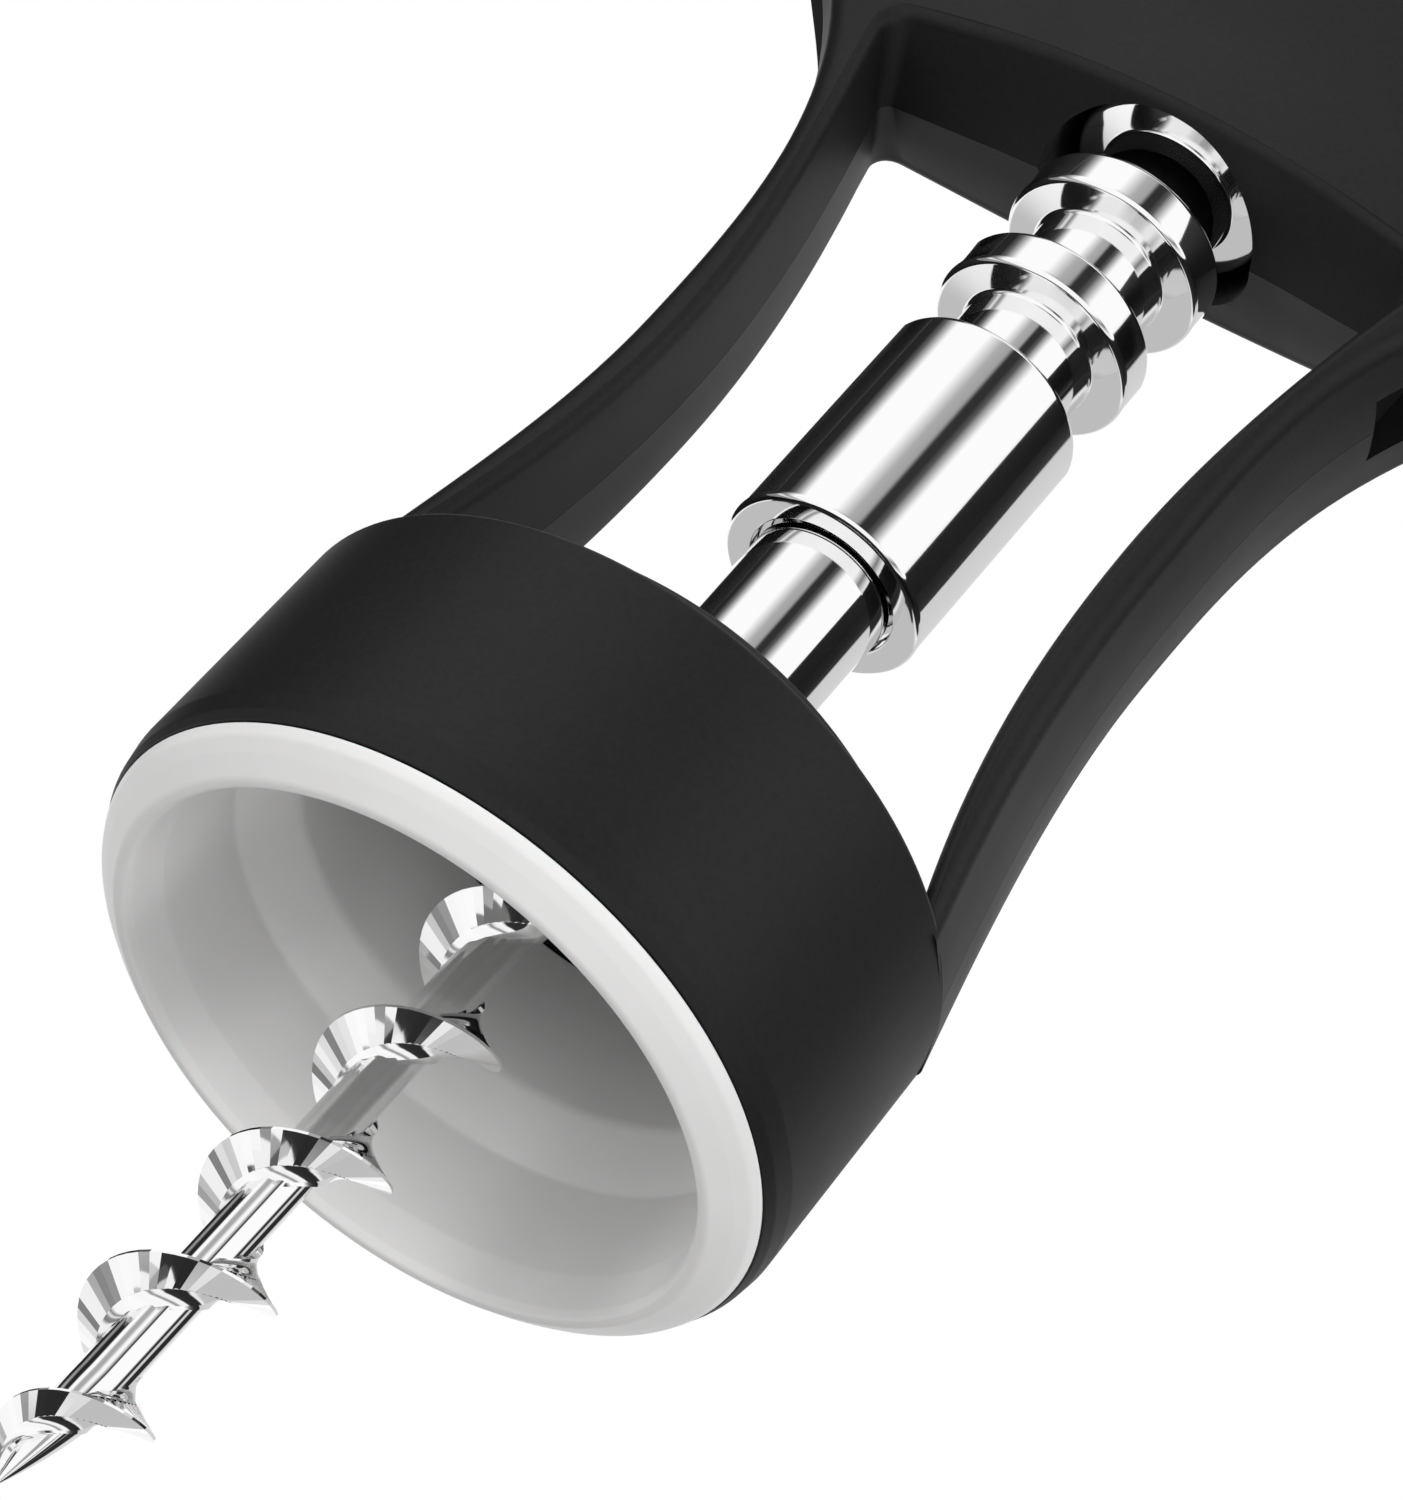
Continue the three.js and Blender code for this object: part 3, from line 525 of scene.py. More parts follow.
@dataclass(frozen=True)
class SoftTouch(Finish):
    """Soft-touch coated ABS: near black and matt, with a fine grain and a dull glow at grazing angles."""

    cloud: float = 9.0
    grain: float = 0.28
    bump: float = 0.02
    bump_strength: float = 0.35
    dark: str = "#0d0d0e"
    light: str = "#1b1b1c"
    roughness: float = 0.5
    spread: float = 0.06
    specular: float = 0.25

    def shader(self, tree: NodeTree, cloud: NodeSocket, grain: NodeSocket, normal: NodeSocket) -> Node:
        """The grain mottles the colour and lifts the surface a few microns, and the cloud varies the gloss.

        Args:
            tree: the material's node tree.
            cloud: the broad pattern.
            grain: the fine pattern.
            normal: the lifted surface's normals.

        Returns:
            The shader node.
        """
        tones = {"data_type": "RGBA", MIX_A: linear(self.dark), MIX_B: linear(self.light)}
        tone = add_node(tree, "ShaderNodeMix", tones, {MIX_FACTOR: grain}).outputs[MIX_RESULT]
        limits = {"To Min": self.roughness - self.spread, "To Max": self.roughness + self.spread}
        gloss = add_node(tree, "ShaderNodeMapRange", limits, {"Value": cloud}).outputs["Result"]
        return add_node(
            tree,
            "ShaderNodeBsdfPrincipled",
            {"Specular IOR Level": self.specular},
            {"Base Color": tone, "Roughness": gloss, "Normal": normal},
        )


@dataclass(frozen=True)
class MouldedNylon(Finish):
    """Moulded white nylon: satin, slightly translucent, with a faint waviness from the mould."""

    bump: float = 0.012
    tone: str = "#e4e4e3"
    shade: str = "#dededd"
    roughness: float = 0.36
    ior: float = 1.53
    glow: float = 0.12
    glow_depth: float = 0.6

    def shader(self, tree: NodeTree, cloud: NodeSocket, grain: NodeSocket, normal: NodeSocket) -> Node:
        """Light spreads a fraction of a millimetre under the surface, which softens the edges.

        Args:
            tree: the material's node tree.
            cloud: the broad pattern.
            grain: not used; it is the fine pattern, which only the normals need.
            normal: the lifted surface's normals.

        Returns:
            The shader node.
        """
        tones = {"data_type": "RGBA", MIX_A: linear(self.shade), MIX_B: linear(self.tone)}
        tone = add_node(tree, "ShaderNodeMix", tones, {MIX_FACTOR: cloud}).outputs[MIX_RESULT]
        return add_node(
            tree,
            "ShaderNodeBsdfPrincipled",
            {
                "Roughness": self.roughness,
                "IOR": self.ior,
                "Subsurface Weight": self.glow,
                "Subsurface Scale": self.glow_depth * MM,
            },
            {"Base Color": tone, "Normal": normal},
        )


@dataclass(frozen=True)
class Metal(Finish):
    """Chrome plate or satin steel: a mirror whose polish varies a little from place to place."""

    cloud: float = 5.0
    grain: float = 0.9
    bump: float = 0.0012
    tone: str = "#f4f4f4"
    roughness: float = 0.06
    spread: float = 0.02

    def shader(self, tree: NodeTree, cloud: NodeSocket, grain: NodeSocket, normal: NodeSocket) -> Node:
        """Polishing leaves a slow change of gloss and a waviness of a few microns.

        Args:
            tree: the material's node tree.
            cloud: the broad pattern.
            grain: not used; it is the fine pattern, which only the normals need.
            normal: the lifted surface's normals.

        Returns:
            The shader node.
        """
        limits = {"To Min": self.roughness - self.spread, "To Max": self.roughness + self.spread}
        gloss = add_node(tree, "ShaderNodeMapRange", limits, {"Value": cloud}).outputs["Result"]
        return add_node(
            tree,
            "ShaderNodeBsdfPrincipled",
            {"Base Color": linear(self.tone), "Metallic": 1.0},
            {"Roughness": gloss, "Normal": normal},
        )


SOFT_BLACK = SoftTouch("soft_touch_abs", "soft_black")
WHITE_NYLON = MouldedNylon("moulded_nylon", "white_nylon")
CHROME = Metal("chrome_plate", "chrome")
STEEL = Metal(
    "satin_steel",
    "steel",
    grain=0.12,
    stretch=(0.08, 1.0, 1.0),
    bump=0.01,
    tone="#c4c6c9",
    roughness=0.24,
    spread=0.05,
)


def finished(bm: BMesh, name: str, finish: Finish, part: Part, node: str, crease: float = 34.0) -> None:
    """Makes a finished object, at the origin and in metres, from a bmesh in millimetres.

    Args:
        bm: the piece; it is freed.
        name: the piece's name.
        finish: what it is made of.
        part: the moving body that carries it.
        node: the CAD node that it replaces.
        crease: edges sharper than this many degrees stay sharp.
    """
    bmesh.ops.remove_doubles(bm, verts=bm.verts[:], dist=MERGE)
    bmesh.ops.recalc_face_normals(bm, faces=bm.faces[:])
    bmesh.ops.scale(bm, vec=(MM, MM, MM), verts=bm.verts[:])
    mesh = mesh_from(bm, name)
    mesh.shade_smooth()
    mesh.set_sharp_from_angle(angle=math.radians(crease))
    mesh.materials.append(finish.material())
    obj = linked(name, mesh)
    shade = obj.modifiers.new("even_shading", "WEIGHTED_NORMAL")
    shade.keep_sharp = True
    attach(obj, part.value)
    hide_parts(node)
    log.info("%s: %d faces, on %s, %s", name, len(mesh.polygons), part.value, finish.name)


# Sub-assemblies


@dataclass
class BodyShells:
    """The black body: two shells that part in the plane of the levers, over a bell."""

    parting: float = 0.015
    foot_height: float = 17.5
    foot_half_width: float = 19.3
    foot_slope: float = -0.22
    waist_half_width: float = 15.7
    waist_height: float = 45.0
    flare_half_width: float = 20.6
    flare_slope: float = 0.6
    underside: float = 70.6
    shoulder_half_width: float = 30.5
    shoulder_rise: float = 10.0
    head_top: float = 104.5
    head_top_half_width: float = 11.0
    head_top_run: float = 9.0
    head_top_fall: float = 0.3
    foot_half_depth: float = 7.9
    foot_depth_height: float = 18.2
    waist_half_depth: float = 6.4
    head_half_depth: float = 7.5
    head_depth_height: float = 73.0
    swell_start: float = 78.0
    swell_end: float = 99.0
    top_half_depth: float = 9.0
    crown_drop: float = 1.25
    crown_reach: float = 15.0
    side_round: float = 1.25
    side_bulge: float = 0.5
    window_foot: float = 17.9
    window_foot_height: float = 16.2
    window_foot_slope: float = -0.33
    window_waist: float = 12.9
    window_waist_height: float = 45.5
    window_corner: float = 15.9
    window_corner_height: float = 67.9
    window_corner_slope: float = 0.22
    window_corner_reach: float = 0.62
    window_corner_round: float = 1.9
    underside_arch: float = 0.75
    side_draft: float = 0.43
    under_draft: float = 1.4
    window_fillet: float = 1.0
    under_fillet: float = 0.8
    pocket_radius: float = 14.105
    pocket_half_depth: float = 2.3
    slot_foot: Point = (16.9, 64.0)
    slot_top: float = 22.0
    slot_run_out: float = 3.0
    under_bore: float = 6.7
    under_bore_ends: Point = (66.0, 101.0)
    guide_bore: float = 6.25
    guide_bore_ends: Point = (80.0, 110.0)
    pin_bore: float = 2.3
    head_radius: float = 3.9
    head_seat: float = 0.5
    head_seat_widening: float = 0.15
    tool_reach: float = 12.0

    def outline(self) -> Profile:
        """The body's side line.

        Returns:
            Its half-width and height from its foot to its top.
        """
        foot = (self.foot_half_width, self.foot_height)
        waist = (self.waist_half_width, self.waist_height)
        flare = (self.flare_half_width, self.underside)
        shoulder = (self.shoulder_half_width, PIVOT_HEIGHT)
        rise = (
            shoulder,
            (shoulder[0], shoulder[1] + self.shoulder_rise),
            (self.head_top_half_width + self.head_top_run, self.head_top - self.head_top_fall),
            (self.head_top_half_width, self.head_top),
        )
        return (
            sweep(foot, self.foot_slope, waist, 0, 22)
            + sweep(waist, 0, flare, self.flare_slope, 22)[1:]
            + sweep(flare, self.flare_slope, shoulder, 0, 16)[1:]
            + bezier(rise, 30)[1:]
        )

    def face_depth(self, x: float, z: float) -> float:
        """Half the body's depth at a place on its crowned faces.

        Args:
            x: distance from the axis.
            z: height.

        Returns:
            The depth, from the parting plane to the face.
        """
        to_waist = smooth(z, self.foot_depth_height, self.waist_height)
        to_head = smooth(z, self.waist_height, self.head_depth_height)
        low = mix(self.foot_half_depth, self.waist_half_depth, to_waist)
        high = mix(low, self.head_half_depth, to_head)
        middle = mix(high, self.top_half_depth, smooth(z, self.swell_start, self.swell_end))
        return middle - self.crown_drop * (x / self.crown_reach) ** 2

    def section(self, half_width: float, z: float) -> list[Point3]:
        """The body's outline at a height: crowned faces with well rounded sides.

        Args:
            half_width: half the width there.
            z: the height.

        Returns:
            Points round the section.
        """
        flat = half_width - self.side_round
        straight = self.face_depth(flat, z) - self.side_round
        side = [(half_width + self.side_bulge * (1 - (i / 3) ** 2), straight * i / 3) for i in range(3)]
        right = side + arc((flat, straight), self.side_round, 0, 84, 7)
        crown = [flat * (1 - i / 11) for i in range(1, 22)]
        half = right + [(x, self.face_depth(x, z)) for x in crown] + [(-x, y) for x, y in reversed(right[1:])]
        return [(x, y, z) for x, y in half + [(-x, -y) for x, y in half]]

    def window_line(self, grow_side: float, grow_under: float) -> Profile:
        """The window's outline, grown outward at its sides and its top.

        Args:
            grow_side: how much wider each side is.
            grow_under: how much higher the head's underside is.

        Returns:
            (x, z) points round the window.
        """
        foot = (self.window_foot + grow_side, self.window_foot_height)
        waist = (self.window_waist + grow_side, self.window_waist_height)
        corner = (self.window_corner + grow_side, self.window_corner_height)
        side = sweep(foot, self.window_foot_slope, waist, 0, 26)
        side += sweep(waist, 0, corner, self.window_corner_slope, 20)[1:]

        def under(x: float) -> Point:
            """The point of the head's underside at x."""
            return x, self.underside + grow_under - self.underside_arch * (x / self.crown_reach) ** 2

        reach = corner[0] + self.window_corner_reach
        turn = self.window_corner_round
        right = side[:-1] + rounded([(*side[-1], 0), (*under(reach), turn), (*under(reach - 4 * turn), 0)], 8)
        inner = right[-1][0]
        across = [under(inner * (1 - 2 * i / 26)) for i in range(1, 26)]
        return right + across + [(-x, z) for x, z in reversed(right)]

    def window_tool(self) -> BMesh:
        """The space between the arms; it flares where it meets both faces, which rounds their edges.

        Returns:
            The closed cutter.
        """
        angles = [math.radians(a) for a in (0, 16, 32, 48, 62, 74)]
        # Share of the way to the face, depth past it and flare there, the last two in fillets.
        rows = [(0.0, 0.0, 0.0), (0.3, 0.0, 0.0), (0.6, 0.0, 0.0)]
        rows += [(1.0, math.sin(a) - 1.0, 1 - math.cos(a)) for a in angles]
        rows += [(1.0, 1.2, 1.55), (1.0, 5.0, 1.55)]
        rings = []
        for sign, half in ((-1, rows[::-1]), (1, rows[1:])):
            for share, past, flare in half:
                line = self.window_line(
                    self.side_draft * share + self.window_fillet * flare,
                    self.under_draft * share + self.under_fillet * flare,
                )
                deep = [max(0.0, share * self.face_depth(x, z) + self.window_fillet * past) for x, z in line]
                rings.append([(x, sign * y, z) for (x, z), y in zip(line, deep)])
        return lofted(rings)

    def pocket_tools(self, side: Side) -> list[BMesh]:
        """Room for a gear and its lever's web, the holes for its pin and the seats of the pin's heads.

        Args:
            side: which wing's.

        Returns:
            The closed cutters.
        """
        sign = side.value
        deep = self.pocket_half_depth
        centre = (sign * PIVOT_SPACING, PIVOT_HEIGHT)
        wheel = arc(centre, self.pocket_radius, 0, 360, 72)[:-1]
        far = self.shoulder_half_width + self.slot_run_out
        above = self.head_top + self.slot_run_out
        corners = [
            self.slot_foot,
            (far, self.slot_foot[1]),
            (far, above),
            (self.slot_top, above),
            (self.slot_top, PIVOT_HEIGHT),
            (PIVOT_SPACING, PIVOT_HEIGHT),
        ]
        slot = [(sign * x, z) for x, z in corners]
        tools = [slab(wheel, -deep, deep), slab(slot, -deep, deep)]
        tools.append(crosswise(rod(self.pin_bore, -self.tool_reach, self.tool_reach, 48), *centre))
        seat = self.face_depth(PIVOT_SPACING, PIVOT_HEIGHT) - self.head_seat
        for back in (False, True):
            dish = rod(self.head_radius, seat, self.tool_reach, 64, self.head_seat_widening)
            tools.append(crosswise(dish, *centre, back=back))
        return tools

    def build(self) -> None:
        """Builds both shells."""
        blank = lofted([self.section(w, z) for w, z in self.outline()])
        rods = ((self.under_bore, self.under_bore_ends), (self.guide_bore, self.guide_bore_ends))
        bores = [rod(radius, *ends, 96) for radius, ends in rods]
        tools = [self.window_tool(), *self.pocket_tools(Side.LEFT), *self.pocket_tools(Side.RIGHT), *bores]
        whole = carved(blank, tools)
        for name, node, sign in (("front_moulding", "front_shell", -1), ("back_moulding", "back_shell", 1)):
            shell = whole.copy()
            geom = shell.verts[:] + shell.edges[:] + shell.faces[:]
            plane = dict(plane_co=(0, sign * self.parting, 0), plane_no=(0, -sign, 0), dist=MERGE)
            cut = bmesh.ops.bisect_plane(shell, geom=geom, clear_outer=True, **plane)
            rim = [item for item in cut["geom_cut"] if isinstance(item, BMEdge)]
            bmesh.ops.holes_fill(shell, edges=rim, sides=0)
            bmesh.ops.triangulate(shell, faces=[f for f in shell.faces if len(f.verts) > 8])
            finished(shell, name, SOFT_BLACK, Part.BODY, node, crease=30.0)
        whole.free()


@dataclass
class Bell:
    """The bell: a black sleeve in one piece with the front shell, and the white insert that it holds."""

    sleeve_bottom: float = 2.0
    sleeve_top: float = 18.2
    sleeve_radius: float = 20.05
    sleeve_taper: float = 0.25
    hem_radius: float = 19.65
    hem_height: float = 1.5
    roof_edge: float = 0.45
    roof: float = 2.2
    roof_hole: float = 4.8
    roof_rise: float = 3.1
    roof_foot: float = 17.15
    roof_shoulder: float = 15.65
    roof_bore: float = 15.0
    insert_radius: float = 17.45
    insert_gap: float = 0.1
    flange_radius: float = 19.5
    flange_top: float = 1.93

    def sleeve(self) -> BMesh:
        """The sleeve with its rolled hem and its roof, which is raised in the middle.

        Returns:
            The turned sleeve.
        """
        upper = self.sleeve_radius - self.sleeve_taper
        inner = self.insert_radius + self.insert_gap
        hem = self.sleeve_bottom + self.hem_height
        crown = self.sleeve_top + self.roof_rise
        corners = [
            (inner, self.sleeve_bottom, 0),
            (self.hem_radius - 0.05, self.sleeve_bottom, 0.08),
            (self.hem_radius + 0.22, self.sleeve_bottom + 0.55, 0.5),
            (self.sleeve_radius, hem + 0.2, 0.9),
            (upper, self.sleeve_top, self.roof_edge),
            (self.roof_foot, self.sleeve_top, 0.3),
            (self.roof_shoulder, crown, 0.6),
            (self.roof_hole, crown, 0.25),
            (self.roof_hole, crown - self.roof, 0.15),
            (self.roof_bore, crown - self.roof, 0.15),
            (inner, self.sleeve_top - self.roof, 0),
        ]
        return turned(rounded(corners, 7), 160)

    def insert(self) -> BMesh:
        """The stepped insert with its rounded rim, ledge and flange.

        Returns:
            The turned insert.
        """
        top = self.sleeve_top - self.roof - self.insert_gap
        corners = [
            (14.0, top + self.roof_rise, 0.15),
            (14.2, 11.2, 1.8),
            (15.8, 7.8, 0.9),
            (16.25, 2.4, 1.3),
            (16.75, 0.45, 0.55),
            (17.0, 0.0, 0.3),
            (17.55, 0.0, 0.6),
            (18.6, 0.75, 1.4),
            (19.25, 1.3, 0.8),
            (self.flange_radius, 1.75, 0.3),
            (self.flange_radius, self.flange_top, 0.05),
            (self.insert_radius, self.flange_top, 0.1),
            (self.insert_radius, top, 0.2),
            (self.roof_bore - 0.15, top + self.roof_rise, 0.15),
        ]
        return turned(rounded(corners, 6, closed=True), 160)

    def build(self) -> None:
        """Builds the sleeve and the insert."""
        finished(self.sleeve(), "bell_sleeve", SOFT_BLACK, Part.BODY, "front_shell")
        finished(self.insert(), "bell_liner", WHITE_NYLON, Part.BODY, "bell_insert")


@dataclass
class Rack:
    """The chrome rack: a plain cylinder below and round teeth above."""

    radius: float = 5.95
    root: float = 3.95
    bore: float = 2.9
    bottom: float = 37.7
    lip_depth: float = 0.9
    lip_radius: float = 4.4
    edge: float = 0.4
    plain_top: float = 53.4
    pitch: float = 7.4
    land: float = 2.5
    flank: float = 1.15
    shelf: float = 0.25
    first: float = 59.75
    count: int = 5
    top: float = 107.7

    def line(self) -> Profile:
        """The rack's profile with its worn corners.

        Returns:
            (radius, height) points round the profile.
        """
        half = self.land / 2
        foot = half + self.flank
        corners = [
            (self.bore, self.bottom + self.lip_depth, 0),
            (self.lip_radius, self.bottom + self.lip_depth, 0.1),
            (self.lip_radius, self.bottom, 0.12),
            (self.radius, self.bottom, self.edge),
            (self.radius, self.plain_top, 0.55),
            (self.root, self.plain_top + self.flank, 0.35),
        ]
        for i in range(self.count):
            z = self.first + i * self.pitch
            corners += [
                (self.root, z - half - self.shelf, 0.25),
                (self.radius, z - half, 0.4),
                (self.radius, z + half, 0.5),
                (self.root, z + foot, 0.35),
            ]
        plain = self.first + self.count * self.pitch - foot
        corners += [
            (self.root, plain, 0.35),
            (self.radius, plain + self.flank, 0.3),
            (self.radius, self.top, 0.6),
            (self.bore, self.top, 0.2),
        ]
        return rounded(corners, 5, closed=True)

    def build(self) -> None:
        """Builds the rack."""
        finished(turned(self.line(), 144), "toothed_rack", CHROME, Part.RACK, "rack_sleeve")


@dataclass
class Spindle:
    """The chrome spindle: shaft, worm and the hub under the handle."""

    shaft_bottom: float = 15.6
    shaft_radius: float = 4.1
    shaft_chamfer: float = 0.7
    shoulder: float = 38.0
    spindle_radius: float = 2.6
    spindle_top: float = 119.5
    core_radius: float = 1.33
    core_flats: int = 11
    core_wave: float = 0.02
    worm_radius: float = 3.87
    worm_top: float = 20.6
    pitch: float = 9.2
    tip: float = -31.7
    point: float = 7.5
    point_fullness: float = 0.9
    phase_height: float = 3.1
    phase_angle: float = 23.0
    flight_start: float = 0.9
    flight_top: float = 14.9
    root_width: float = 2.5
    root_share: float = 0.92
    inside_share: float = 0.6
    root_fillet: float = 0.7
    edge_width: float = 0.16
    ripple: float = 0.006
    ripple_beats: Point = (2.4, 5.1)
    facets_round: int = 44
    lean: float = 1.3
    lean_start: float = -2.0
    lean_angle: float = 203.0
    hub_bottom: float = 108.0
    hub_top: float = 113.6
    hub_bore: float = 2.7
    hub_foot_radius: float = 8.4
    hub_neck_radius: float = 6.6

    def shaft(self) -> BMesh:
        """The stepped shaft with its chamfered lower end.

        Returns:
            The turned shaft.
        """
        corners = [
            (0, self.shaft_bottom, 0),
            (self.shaft_radius - self.shaft_chamfer, self.shaft_bottom, 0.15),
            (self.shaft_radius, self.shaft_bottom + self.shaft_chamfer, 0.2),
            (self.shaft_radius, self.shoulder, 0.15),
            (self.spindle_radius, self.shoulder, 0.1),
            (self.spindle_radius, self.spindle_top, 0.3),
            (0, self.spindle_top, 0),
        ]
        return turned(rounded(corners, 5), 96, closed=False)

    def grown(self, z: float) -> float:
        """How much of its full size the worm has at a height, from 0 at the tip."""
        share = min(1.0, max(0.0, (z - self.tip) / self.point))
        return math.sin(share * math.pi / 2) ** self.point_fullness

    def leaned(self, bm: BMesh) -> BMesh:
        """Bends a piece of the worm a little off its axis toward the point, as grinding leaves it.

        Args:
            bm: the piece; it is moved.

        Returns:
            The same bmesh.
        """
        angle = math.radians(self.lean_angle)
        for vert in bm.verts:
            share = max(0.0, (self.lean_start - vert.co.z) / (self.lean_start - self.tip))
            shift = self.lean * share**1.5
            vert.co.x += shift * math.cos(angle)
            vert.co.y += shift * math.sin(angle)
        return bm

    def wound(self, section: Sequence[Point], facets: int, ripple: float = 0.0) -> BMesh:
        """Winds a section up the worm's helix, smaller toward the point.

        Args:
            section: (radius, height) points.
            facets: steps in one turn.
            ripple: how far the faces tilt from one step to the next, at 1 mm from the core.

        Returns:
            The wound bmesh.
        """
        start = self.tip + self.flight_start
        turns = (self.flight_top - start - self.root_width) / self.pitch
        steps = int(turns * facets)
        phase = math.radians(self.phase_angle) - 2 * math.pi * self.phase_height / self.pitch
        inside = section[0][0]
        slow, fast = self.ripple_beats
        rings = []
        for k in range(steps + 1):
            z = start + turns * self.pitch * k / steps
            angle = phase + 2 * math.pi * z / self.pitch
            size = self.grown(z)
            tilt = ripple * (math.sin(slow * k) + 0.5 * math.sin(fast * k))
            ring = []
            for r, w in section:
                full = w + math.copysign(tilt, w) * min(1.0, max(0.0, r - inside))
                ring.append((size * r * math.cos(angle), size * r * math.sin(angle), z + full * size))
            rings.append(ring)
        return lofted(rings)

    def blade(self) -> tuple[Point, Point]:
        """The flight's upper face in section, from its root in the core to its keen edge."""
        root = (self.core_radius * self.root_share, self.root_width / 2)
        return root, (self.worm_radius, self.edge_width / 2)

    def core(self) -> BMesh:
        """The worm's core, drawn with faint flats, its long point, and the fillets at the flight's root.

        Returns:
            The core and the fillets, bent like the flight.
        """
        heights = [self.tip + self.point * i / 24 for i in range(1, 25)]
        line = [(0.0, self.tip)] + [(self.core_radius * self.grown(z), z) for z in heights]
        line += [(self.core_radius, self.worm_top), (0.0, self.worm_top)]
        body = turned(line, 16 * self.core_flats, closed=False)
        for vert in body.verts:
            swell = 1 + self.core_wave * math.cos(self.core_flats * math.atan2(vert.co.y, vert.co.x))
            vert.co.x *= swell
            vert.co.y *= swell
        inner, outer = self.blade()
        slope = (outer[1] - inner[1]) / (outer[0] - inner[0])
        corner = (self.core_radius, inner[1] + slope * (self.core_radius - inner[0]))
        low = (self.core_radius, corner[1] + self.root_fillet)
        far = (self.core_radius + self.root_fillet, corner[1] + slope * self.root_fillet)
        curve = bezier((low, corner, far), 6)
        inside = self.core_radius * self.inside_share
        under = [(inside, -low[1])] + [(r, -w) for r, w in curve] + [(inside, -far[1])]
        over = [(inside, far[1])] + curve[::-1] + [(inside, low[1])]
        fillets = [self.wound(section, 2 * self.facets_round) for section in (under, over)]
        return self.leaned(added(body, *fillets))

    def flight(self) -> BMesh:
        """The flight: a ground blade with a keen edge, wound right-handed, its facets left by the wheel.

        Returns:
            The flight, bent like the core.
        """
        side = [(self.core_radius * self.inside_share, self.root_width / 2), *self.blade()]
        section = [(r, -w) for r, w in side] + [(r, w) for r, w in reversed(side)]
        return self.leaned(self.wound(section, self.facets_round, self.ripple))

    def hub(self) -> BMesh:
        """The hub that fills the space between the rack's top and the handle.

        Returns:
            The turned hub.
        """
        corners = [
            (self.hub_bore, self.hub_bottom, 0),
            (self.hub_foot_radius, self.hub_bottom, 0.9),
            (self.hub_foot_radius, self.hub_bottom + 2.0, 0.5),
            (self.hub_neck_radius, self.hub_bottom + 3.4, 1.2),
            (self.hub_neck_radius, self.hub_top, 0.25),
            (self.hub_bore, self.hub_top, 0),
        ]
        return turned(rounded(corners, 7, closed=True), 128)

    def build(self) -> None:
        """Builds the shaft, the worm and the hub."""
        finished(self.shaft(), "stepped_shaft", CHROME, Part.SPINDLE, "spindle_shaft")
        finished(self.core(), "worm_core", CHROME, Part.SPINDLE, "worm", crease=50.0)
        finished(self.flight(), "worm_flight", CHROME, Part.SPINDLE, "worm", crease=1.5)
        finished(self.hub(), "chrome_hub", CHROME, Part.SPINDLE, "handle_hub")


